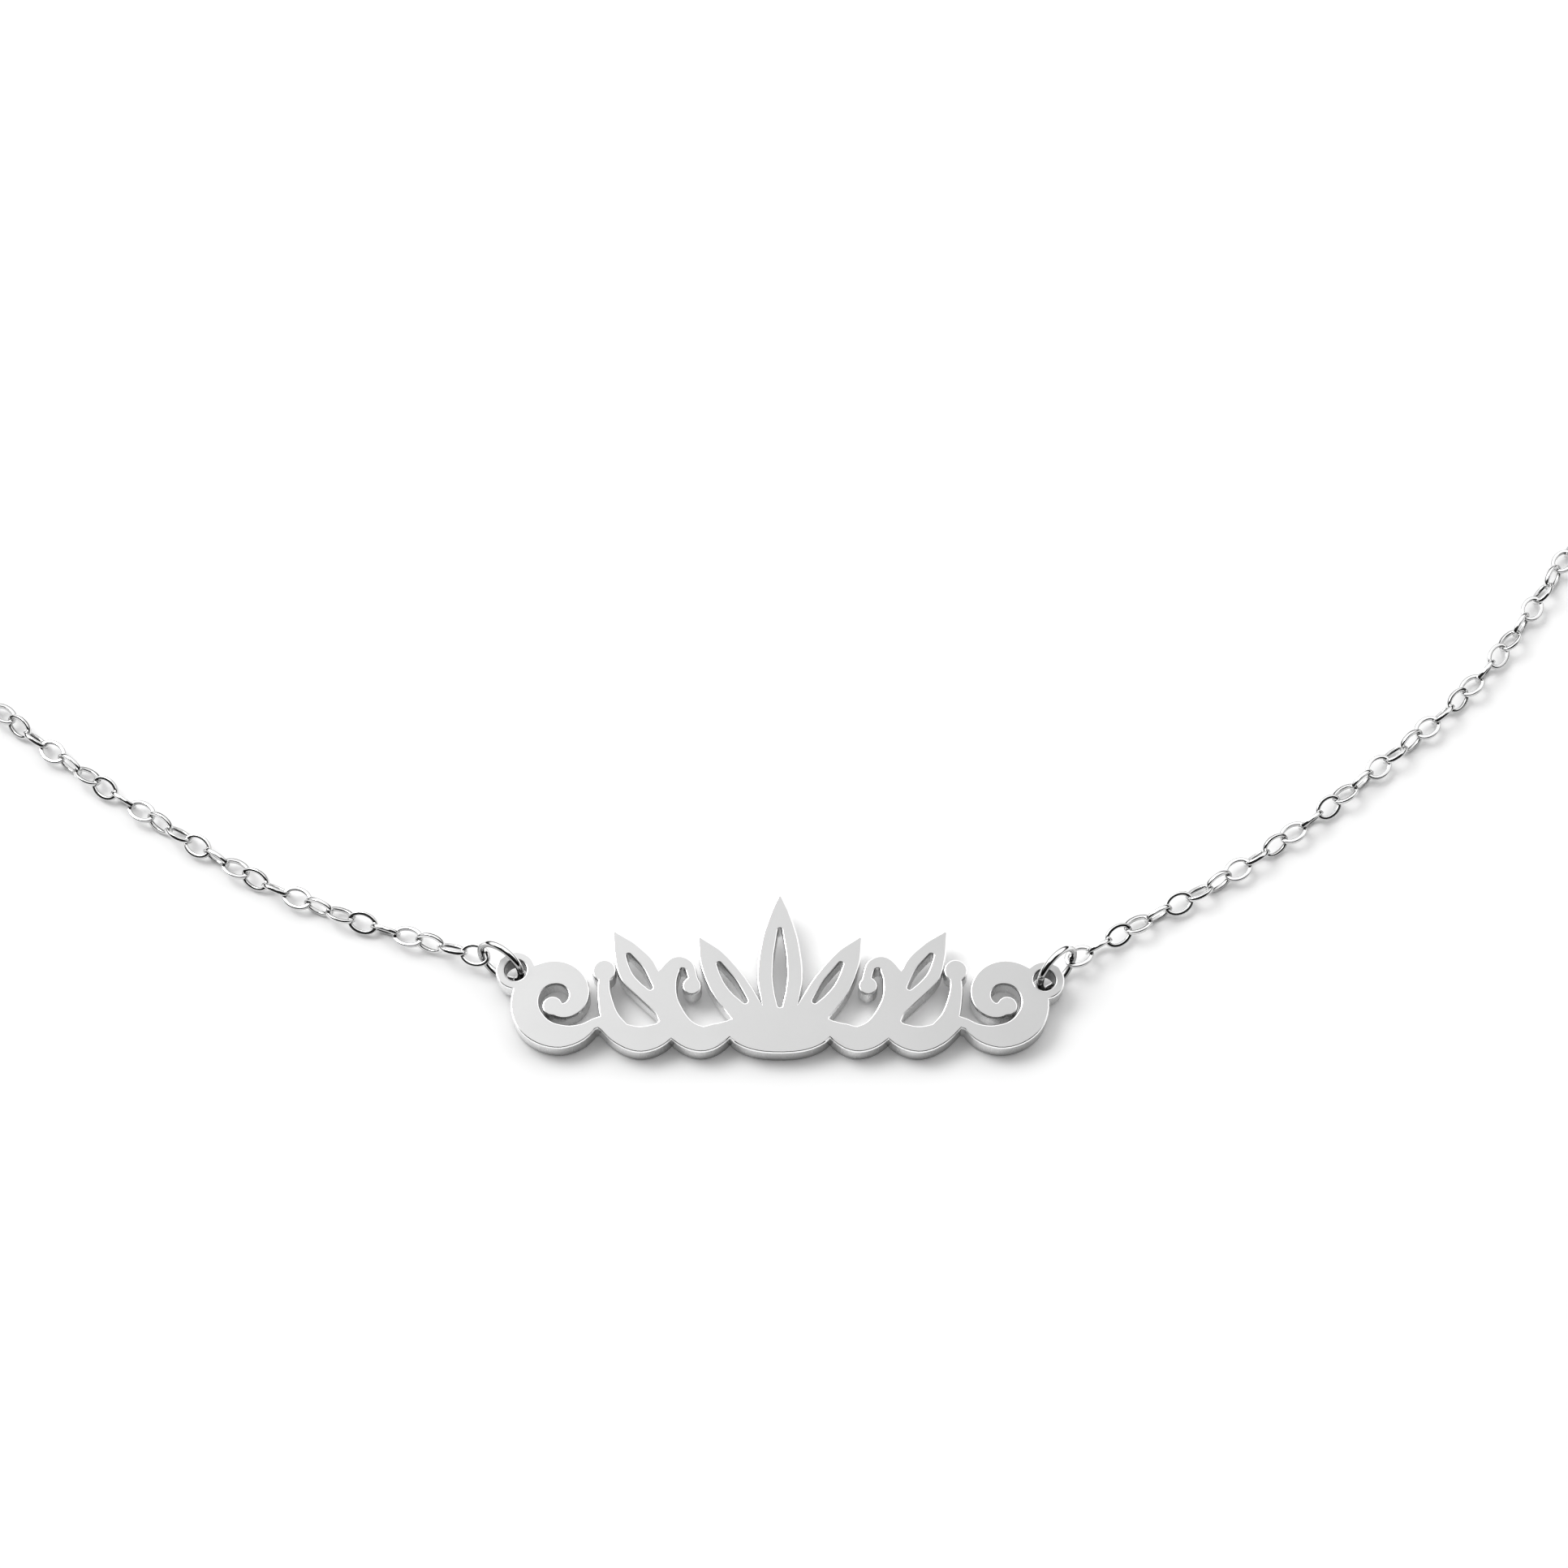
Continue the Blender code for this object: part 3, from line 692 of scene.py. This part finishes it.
@dataclass
class Nameplate:
    """The openwork plate: a merged copy of the CAD node with softened rims.

    Attributes:
        layout: Where everything lies.
        rim_steps: Each step of the rounded rim from the wall inwards: its width and its rise.
        foot_steps: The same for the small chamfer on the underside.
        level_slopes: The slope under which each next level begins, one for the top face and zero for a wall.
        bore_margin: How far outside an eyelet's hole a place still counts as on its wall.
        flat_slope: The slope from which a face of the CAD plate counts as flat.
        flat_spread: The angle, in degrees, up to which flat faces are merged into one.
        smooth_angle: The widest angle, in degrees, that still looks round on a wall.
        node: The CAD node that the plate copies.
    """

    layout: Layout
    rim_steps: tuple[tuple[float, float], ...] = ((0.05 * MM, 0.13 * MM), (0.055 * MM, 0.015 * MM))
    foot_steps: tuple[tuple[float, float], ...] = ((0.04 * MM, 0.04 * MM),)
    level_slopes: tuple[float, ...] = (0.998, 0.8, 0.2, -0.2, -0.998)
    bore_margin: float = 0.05 * MM
    flat_slope: float = 0.999
    flat_spread: float = 0.1
    smooth_angle: float = 46.0
    node: str = "nameplate"

    @property
    def up(self) -> Vector:
        """Gives the direction that the leaning plate's top faces."""
        return Matrix.Rotation(self.layout.lean, 3, "X") @ UP

    def soften(self, piece: bpy.types.Object, facing: Vector, steps: tuple[tuple[float, float], ...]) -> None:
        """Rounds the rim of the flat faces that look one way.

        Args:
            piece: The plate, in edit mode.
            facing: The way that the faces look.
            steps: Each step inwards from the wall: its width and its rise.
        """
        select_faces(piece, lambda face: face.normal.dot(facing) > self.flat_slope)
        bpy.ops.mesh.dissolve_limited(angle_limit=math.radians(self.flat_spread))
        bpy.ops.transform.translate(value=-facing * sum(rise for _, rise in steps))
        for width, rise in steps:
            bpy.ops.mesh.inset(thickness=width, depth=rise, use_even_offset=False)
        bpy.ops.mesh.face_make_planar(factor=1.0, repeat=3)

    def level(self, normal: Vector) -> Level:
        """Tells which level of the plate's edge a face belongs to."""
        slope = normal.dot(self.up)
        return Level(sum(slope < limit for limit in self.level_slopes))

    def crease(self, piece: bpy.types.Object) -> None:
        """Marks the edges between two levels as sharp, so that each level keeps its own light."""
        shape = bmesh.from_edit_mesh(piece.data)
        for edge in shape.edges:
            edge.smooth = len({self.level(face.normal) for face in edge.link_faces}) == 1
        bmesh.update_edit_mesh(piece.data)

    def build(self) -> bpy.types.Object:
        """Copies, merges and softens the plate.

        Returns:
            The plate, bare of materials.
        """
        piece = bpy.data.objects.new("openwork_plate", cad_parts[self.node].data.copy())
        bpy.context.scene.collection.objects.link(piece)
        piece.data.materials.clear()
        with edit_mode(piece):
            bpy.ops.mesh.remove_doubles(threshold=MERGE_COPY)
            self.soften(piece, self.up, self.rim_steps)
            self.soften(piece, -self.up, self.foot_steps)
            self.crease(piece)
        choose(piece)
        bpy.ops.mesh.customdata_custom_splitnormals_clear()
        bpy.ops.object.shade_smooth_by_angle(angle=math.radians(self.smooth_angle), keep_sharp_edges=True)
        return piece

    def in_bore(self, place: Vector) -> bool:
        """Tells whether a place is on the wall of an eyelet's hole."""
        reach = self.layout.eyelet_hole + self.bore_margin
        return any(((place - self.layout.eyelet_middle(side)).cross(self.up)).length < reach for side in Side)

    def finish_of(self, polygon: bpy.types.MeshPolygon) -> SteelFinish:
        """Picks a face's finish by its level, its place and the way it looks."""
        level = self.level(polygon.normal)
        if level in (Level.FACE, Level.BASE):
            return SATIN_FACE
        # The lip takes a painted highlight with a painted dark line at the front.
        if level is Level.LIP:
            return LIP_HIGHLIGHT_AND_SHADE
        # The rim takes a brighter copy of the steel, partly a painted highlight.
        if level is Level.RIM:
            return RIM_HIGHLIGHT
        # Walls of the eyelets' holes take the bore's painted shade; the other walls take the cut wall's
        # painted shade.
        return SHADED_BORE if self.in_bore(polygon.center) else CUT_WALL

    def dress(self, piece: bpy.types.Object, finishes: dict[SteelFinish, bpy.types.Material]) -> None:
        """Gives every face its finish.

        Args:
            piece: The plate.
            finishes: The material of each finish.
        """
        slots = list(finishes)
        for finish in slots:
            piece.data.materials.append(finishes[finish])
        for polygon in piece.data.polygons:
            polygon.material_index = slots.index(self.finish_of(polygon))
            polygon.use_smooth = self.level(polygon.normal) not in (Level.FACE, Level.BASE)


@dataclass
class JumpRings:
    """The two round wire rings that hang the plate on its chain.

    Attributes:
        layout: Where everything lies.
        butt: Where on each ring its ends meet, as an angle in the ring's own frame.
        butt_gap: The gap between the ends.
        end_round: How far the ends' edges are rounded.
        steps: The sections around a ring.
        wire_sides: The sides of the wire.
    """

    layout: Layout
    butt: tuple[float, float] = (math.radians(215.0), math.radians(150.0))
    butt_gap: float = 0.06 * MM
    end_round: float = 0.03 * MM
    steps: int = 96
    wire_sides: int = 20

    def build(self, side: Side) -> bpy.types.Object:
        """Bends one ring from round wire.

        Args:
            side: The hand.

        Returns:
            The ring in its place.
        """
        deselect()
        wire_radius = 0.5 * (self.layout.ring_diameter - self.layout.ring_wire)
        bpy.ops.mesh.primitive_circle_add(vertices=self.wire_sides, radius=0.5 * self.layout.ring_wire,
                                          fill_type="NGON", location=(wire_radius, 0.0, 0.0),
                                          rotation=(math.radians(90.0), 0.0, 0.0))
        ring = name_new("jump_ring_" + side.value + "_wire")
        bpy.ops.object.transform_apply(location=True, rotation=True, scale=True)
        half_gap = 0.5 * self.butt_gap / wire_radius
        with edit_mode(ring):
            bpy.ops.mesh.spin(steps=self.steps, angle=2.0 * (math.pi - half_gap), center=(0.0, 0.0, 0.0),
                              axis=(0.0, 0.0, 1.0))
        add_modifier(ring, "BEVEL", width=self.end_round, segments=2, limit_method="ANGLE",
                     angle_limit=ROUNDED_EDGE)
        ring.data.transform(self.layout.ring_place(side)
                            @ Matrix.Rotation(self.layout.of_side(self.butt, side) + half_gap, 4, "Z"))
        settle(ring)
        return ring


@dataclass
class CableChain:
    """The cable chain of oval flat wire links, fine in front and plain where it is hidden.

    Attributes:
        layout: Where everything lies.
        length: A link's outer length.
        wire_in_plane: The wire's width in the link's plane.
        wire_across: The wire's width across that plane.
        fine_segments: The sections around a link of the front stretch.
        plain_segments: The sections around a link of the hidden stretch.
        edge_round: How far the wire's edges are rounded.
        smooth_angle: The widest angle, in degrees, that still looks round on a link.
        front_links: How many links of each hand the front stretch has.
        first_roll: The roll of each hand's first link.
        roll_step: How much each link rolls against the one before.
        last_roll: The roll of the link at the clasp.
        material: The links' finish.
    """

    layout: Layout
    length: float = 2.25 * MM
    wire_in_plane: float = 0.30 * MM
    wire_across: float = 0.31 * MM
    fine_segments: int = 28
    plain_segments: int = 12
    edge_round: float = 0.08 * MM
    smooth_angle: float = 62.0
    front_links: tuple[int, int] = (26, 32)
    first_roll: tuple[float, float] = (math.radians(-24.0), math.radians(-5.0))
    roll_step: tuple[float, float] = (math.radians(69.2), math.radians(-66.0))
    last_roll: float = math.radians(90.0)
    material: bpy.types.Material | None = None

    @property
    def pitch(self) -> float:
        """Gives the distance from link to link."""
        return self.length - 2.0 * self.wire_in_plane + self.layout.link_solder

    def make_link(self, name: str, segments: int, rounded: bool) -> bpy.types.Object:
        """Models one link about the origin, its length along X and its flat side facing Z.

        Args:
            name: The link's name.
            segments: The sections around the link.
            rounded: Whether the wire's edges are rounded.

        Returns:
            The link.
        """
        deselect()
        bpy.ops.mesh.primitive_circle_add(vertices=segments, radius=0.5, fill_type="NOTHING",
                                          location=(0.0, 0.0, -0.5 * self.wire_across))
        link = name_new(name)
        link.scale = (self.length - self.wire_in_plane, self.layout.link_width - self.wire_in_plane, 1.0)
        bpy.ops.object.transform_apply(location=True, rotation=True, scale=True)
        with edit_mode(link, "EDGE"):
            bpy.ops.mesh.extrude_region_move(TRANSFORM_OT_translate={"value": (0.0, 0.0, self.wire_across)})
        add_modifier(link, "SOLIDIFY", thickness=self.wire_in_plane, offset=0.0, use_even_offset=True)
        if rounded:
            add_modifier(link, "BEVEL", width=self.edge_round, segments=2, limit_method="ANGLE",
                         angle_limit=ROUNDED_EDGE)
        settle(link, self.smooth_angle)
        link.data.materials.append(self.material)
        return link

    def link_place(self, start: Vector, end: Vector, roll: float) -> Matrix:
        """Gives a link's place between two joints, turned about its length.

        Args:
            start: Where it bears on the one before.
            end: Where it bears on the next.
            roll: The turn from lying flat.

        Returns:
            The place as a matrix.
        """
        along = (end - start).normalized()
        level = UP.cross(along).normalized()
        wide = level * math.cos(roll) + along.cross(level) * math.sin(roll)
        turn = Matrix((along, wide, along.cross(wide))).transposed()
        return Matrix.Translation((start + end) * 0.5) @ turn.to_4x4()

    def run(self, name: str, template: bpy.types.Object, joints: list[Vector],
            rolls: list[float]) -> bpy.types.Object:
        """Sets copies of a link between joints and joins them into one stretch.

        Args:
            name: The stretch's name.
            template: The link that is copied.
            joints: The joints, one more than the links.
            rolls: Each link's roll.

        Returns:
            The stretch.
        """
        copies = [copy_at(template, f"{name}_{i}", self.link_place(a, b, roll))
                  for i, (a, b, roll) in enumerate(zip(joints, joints[1:], rolls))]
        return join(name, copies)

    def build(self, side: Side, fine: bpy.types.Object, plain: bpy.types.Object) -> tuple[
            bpy.types.Object, bpy.types.Object]:
        """Lays one hand's chain from its jump ring to the clasp.

        Args:
            side: The hand.
            fine: The link of the front stretch.
            plain: The link of the hidden stretch.

        Returns:
            The front stretch and the hidden stretch.
        """
        path = self.layout.chain_path(side)
        total = sum((b - a).length for a, b in zip(path, path[1:]))
        count = int(self.layout.of_side(self.front_links, side))
        first, step = (self.layout.of_side(pair, side) for pair in (self.first_roll, self.roll_step))
        front = [i * self.pitch for i in range(count + 1)]
        rest = total - front[-1]
        hidden = round(rest / self.pitch)
        behind = [front[-1] + rest * i / hidden for i in range(hidden + 1)]
        next_roll = first + step * count
        turns = round((step * hidden + next_roll - self.last_roll) / math.pi)
        hidden_step = (self.last_roll + turns * math.pi - next_roll) / (hidden - 1)
        shown = self.run("chain_" + side.value + "_links", fine, points_along(path, front),
                         [first + step * i for i in range(count)])
        unseen = self.run("chain_back_" + side.value + "_links", plain, points_along(path, behind),
                          [next_roll + hidden_step * i for i in range(hidden)])
        return shown, unseen


@dataclass
class Clasp:
    """The closed clasp behind the neck: an oval body with an eye at each end.

    Attributes:
        layout: Where everything lies.
        body_length: The oval body's length.
        width: The oval body's width.
        height: The body's height.
        eye_radius: An eye's outer radius.
        eye_hole: The radius of its hole.
        eye_thickness: How thick the eyes are.
        eye_wall: The metal between the body and an eye's hole.
        body_round: How far the body's edges are rounded.
        eye_round: How far the eyes' edges are rounded.
        body_sides: The sides of the body.
        eye_sides: The sides of an eye.
        smooth_angle: The widest angle, in degrees, that still looks round.
    """

    layout: Layout
    body_length: float = 5.4 * MM
    width: float = 4.2 * MM
    height: float = 2.0 * MM
    eye_radius: float = 1.25 * MM
    eye_hole: float = 0.65 * MM
    eye_thickness: float = 0.7 * MM
    eye_wall: float = 0.3 * MM
    body_round: float = 0.55 * MM
    eye_round: float = 0.12 * MM
    body_sides: int = 64
    eye_sides: int = 40
    smooth_angle: float = 40.0

    def make_body(self, middle: Vector) -> bpy.types.Object:
        """Models the oval body with rounded edges.

        Args:
            middle: The body's middle.

        Returns:
            The body.
        """
        deselect()
        bpy.ops.mesh.primitive_cylinder_add(vertices=self.body_sides, radius=0.5, depth=self.height,
                                            location=middle)
        body = name_new("clasp_body")
        body.scale = (self.body_length, self.width, 1.0)
        bpy.ops.object.transform_apply(location=True, rotation=True, scale=True)
        add_modifier(body, "BEVEL", width=self.body_round, segments=5, limit_method="ANGLE",
                     angle_limit=ROUNDED_EDGE)
        return body

    def make_eye(self, middle: Vector) -> bpy.types.Object:
        """Models one flat eye with softened edges.

        Args:
            middle: The eye's middle.

        Returns:
            The eye.
        """
        deselect()
        radius = 0.5 * (self.eye_radius + self.eye_hole)
        low = middle - UP * 0.5 * self.eye_thickness
        bpy.ops.mesh.primitive_circle_add(vertices=self.eye_sides, radius=radius, fill_type="NOTHING",
                                          location=low)
        eye = name_new("clasp_eye")
        bpy.ops.object.transform_apply(location=True, rotation=True, scale=True)
        with edit_mode(eye, "EDGE"):
            bpy.ops.mesh.extrude_region_move(TRANSFORM_OT_translate={"value": (0.0, 0.0, self.eye_thickness)})
        add_modifier(eye, "SOLIDIFY", thickness=self.eye_radius - self.eye_hole, offset=0.0,
                     use_even_offset=True)
        add_modifier(eye, "BEVEL", width=self.eye_round, segments=2, limit_method="ANGLE",
                     angle_limit=ROUNDED_EDGE)
        with edit_mode(eye):
            bpy.ops.mesh.normals_make_consistent(inside=False)
        return eye

    def build(self) -> bpy.types.Object:
        """Joins the body and the eyes into one piece.

        Returns:
            The clasp in its place.
        """
        middle = Vector((0.0, self.layout.clasp_y, 0.5 * self.height)) + self.layout.shift
        body = self.make_body(middle)
        reach = 0.5 * self.body_length + self.eye_wall + self.eye_hole
        for side in Side:
            eye = self.make_eye(middle + Vector((side.hand * reach, 0.0, 0.0)))
            add_modifier(body, "BOOLEAN", operation="UNION", solver="EXACT", object=eye)
            remove(eye)
        settle(body, self.smooth_angle)
        return body


# The studio.


@dataclass(frozen=True)
class Studio:
    """The pale floor, the soft lights and the camera.

    Attributes:
        layout: Where everything lies.
        elevation: The camera's angle over the table.
        camera_spot: The camera's place from the middle of the plate, in the plate's frame.
        lens: The camera's lens in millimetres.
        sensor: The camera's sensor width in millimetres.
        clip: The nearest and the farthest that the camera sees.
        floor_size: The side of the floor.
        floor_grey: The floor's linear grey.
        floor_mottle: How far that grey wanders.
        floor_glow: How much the floor shines by itself, for the photo's pure white ground.
        key_direction: Where the key light hangs, seen from the plate.
        key_distance: How far off it hangs.
        key_size: How wide it is.
        key_power: Its power in watts.
        sky_strength: The tent's brightness.
        sky_slant: How much brighter the tent is on the left and darker on the right.
        tent_foot: The heights, as a direction's Z, between which the tent begins.
        tent_top: The heights from which the tent closes again above the dark front.
        tent_side: How far to a side, as a direction's X, the dark front ends.
        tent_back: How far back, as a direction's Y, it ends.
        tent_gap: The brightness of the dark gaps.
        tent_seen: The brightness that the camera itself sees behind the table.
    """

    layout: Layout
    elevation: float = math.radians(59.5)
    camera_spot: tuple[float, float, float] = (0.28 * MM, -96.17 * MM, 191.31 * MM)
    lens: float = 71.0
    sensor: float = 36.0
    clip: tuple[float, float] = (0.01, 50.0)
    floor_size: float = 6.0
    floor_grey: float = 0.97
    floor_mottle: float = 0.004
    floor_glow: float = 0.10
    key_direction: tuple[float, float, float] = (-0.50, 0.30, 0.81)
    key_distance: float = 0.9
    key_size: float = 0.5
    key_power: float = 2.9
    sky_strength: float = 1.28
    sky_slant: float = 0.05
    tent_foot: tuple[float, float] = (0.26, 0.44)
    tent_top: tuple[float, float] = (0.91, 0.95)
    tent_side: tuple[float, float] = (0.88, 0.93)
    tent_back: tuple[float, float] = (-0.16, -0.08)
    tent_gap: float = 0.02
    tent_seen: float = 1.2

    @property
    def ground(self) -> Vector:
        """Gives the place on the table under the middle of the plate's frame."""
        return Vector((self.layout.shift.x, self.layout.shift.y, 0.0))

    def place_camera(self) -> None:
        """Sets the camera at the photograph's angle."""
        data = bpy.data.cameras.new("camera")
        data.lens = self.lens
        data.sensor_width = self.sensor
        data.clip_start, data.clip_end = self.clip
        camera = bpy.data.objects.new("camera", data)
        camera.location = Vector(self.camera_spot) + self.ground
        camera.rotation_euler = (math.radians(90.0) - self.elevation, 0.0, 0.0)
        bpy.context.scene.collection.objects.link(camera)
        bpy.context.scene.camera = camera

    def lay_floor(self) -> None:
        """Lays the plain pale floor."""
        deselect()
        bpy.ops.mesh.primitive_plane_add(size=self.floor_size, location=(0.0, 0.0, 0.0))
        floor = name_new("floor")
        material = bpy.data.materials.new("floor_card")
        material.use_nodes = True
        weave = Weave(material.node_tree)
        shader = material.node_tree.nodes["Principled BSDF"]
        place = weave.add("TexCoord").outputs["Object"]
        mottle = weave.add("TexNoise", {"Vector": place, "Scale": 40.0, "Detail": 2.0})
        grey = weave.spread(mottle.outputs["Fac"], NOISE_LOW, NOISE_HIGH, self.floor_grey - self.floor_mottle,
                            self.floor_grey + self.floor_mottle)
        colour = weave.add("CombineColor", {"Red": grey, "Green": grey, "Blue": grey})
        weave.feed(shader.inputs["Base Color"], colour.outputs["Color"])
        shader.inputs["Roughness"].default_value = 1.0
        shader.inputs["Specular IOR Level"].default_value = 0.0
        shader.inputs["Emission Strength"].default_value = self.floor_glow
        shader.inputs["Emission Color"].default_value = (1.0, 1.0, 1.0, 1.0)
        floor.data.materials.append(material)

    def hang_key(self) -> None:
        """Hangs the soft key light up on the left behind the plate."""
        data = bpy.data.lights.new("key", "AREA")
        data.shape = "DISK"
        data.size = self.key_size
        data.energy = self.key_power
        light = bpy.data.objects.new("key", data)
        direction = Vector(self.key_direction).normalized()
        light.location = self.ground + direction * self.key_distance
        light.rotation_euler = direction.to_track_quat("Z", "Y").to_euler()
        bpy.context.scene.collection.objects.link(light)

    def paint_sky(self) -> None:
        """Surrounds the table with a white tent, brighter on the left and dark low down and in front."""
        world = bpy.data.worlds.new("tent")
        bpy.context.scene.world = world
        world.use_nodes = True
        weave = Weave(world.node_tree)
        background = world.node_tree.nodes["Background"]
        direction = weave.add("SeparateXYZ", {"Vector": weave.add("TexCoord").outputs["Generated"]}).outputs
        border = weave.spread(direction["Z"], *self.tent_foot, self.tent_gap, 1.0)
        slant = weave.spread(direction["X"], -0.5, 0.5, 1.0 + self.sky_slant, 1.0 - self.sky_slant)
        above = weave.spread(direction["Z"], *self.tent_top, 0.0, 1.0)
        aside = weave.spread(weave.maths("ABSOLUTE", direction["X"]), *self.tent_side, 0.0, 1.0)
        behind = weave.spread(direction["Y"], *self.tent_back, 0.0, 1.0)
        open_there = weave.maths("MAXIMUM", above, weave.maths("MAXIMUM", aside, behind))
        front = weave.spread(open_there, 0.0, 1.0, self.tent_gap, 1.0)
        tent = weave.maths("MULTIPLY", weave.maths("MULTIPLY", border, slant), front)
        seen = weave.add("LightPath").outputs["Is Camera Ray"]
        shade = weave.add("Mix", {"Factor": seen, "A": tent, "B": self.tent_seen}, data_type="FLOAT")
        grey = weave.add("CombineColor")
        for channel in ("Red", "Green", "Blue"):
            weave.feed(grey.inputs[channel], shade.outputs[0])
        weave.feed(background.inputs["Color"], grey.outputs["Color"])
        background.inputs["Strength"].default_value = self.sky_strength

    def build(self) -> None:
        """Sets up everything around the necklace."""
        self.lay_floor()
        self.hang_key()
        self.paint_sky()
        self.place_camera()
        settings = bpy.context.scene.view_settings
        settings.view_transform = "Standard"
        settings.look = "None"
        log.info("studio: floor, key light, tent and camera")


def main() -> None:
    """Builds the necklace and its studio."""
    logging.basicConfig(level=logging.INFO, format="%(name)s: %(message)s")
    layout = Layout.read()
    grain, hairlines = grain_group(), hairline_group()

    plate = Nameplate(layout)
    piece = plate.build()
    finishes = (SATIN_FACE, LIP_HIGHLIGHT_AND_SHADE, RIM_HIGHLIGHT, CUT_WALL, SHADED_BORE)
    plate.dress(piece, {finish: finish.make(grain, hairlines) for finish in finishes})
    hand_in(piece, Slot.SATIN, "nameplate")

    rings = JumpRings(layout)
    mirror = MIRROR_WIRE.make(grain, hairlines)
    for side in Side:
        ring = rings.build(side)
        ring.data.materials.append(mirror)
        hand_in(ring, Slot.POLISHED, "jump_ring_" + side.value)

    chain = CableChain(layout, material=CHAIN_WIRE.make(grain, hairlines))
    fine = chain.make_link("fine_link", chain.fine_segments, True)
    plain = chain.make_link("plain_link", chain.plain_segments, False)
    for side in Side:
        shown, unseen = chain.build(side, fine, plain)
        hand_in(shown, Slot.CHAIN, "chain_" + side.value)
        hand_in(unseen, Slot.CHAIN, "chain_back_" + side.value)
    remove(fine)
    remove(plain)

    clasp = Clasp(layout).build()
    clasp.data.materials.append(CLASP_POLISH.make(grain, hairlines))
    hand_in(clasp, Slot.POLISHED, "clasp")

    Studio(layout).build()
    bpy.context.view_layer.update()


if __name__ == "__main__":
    main()
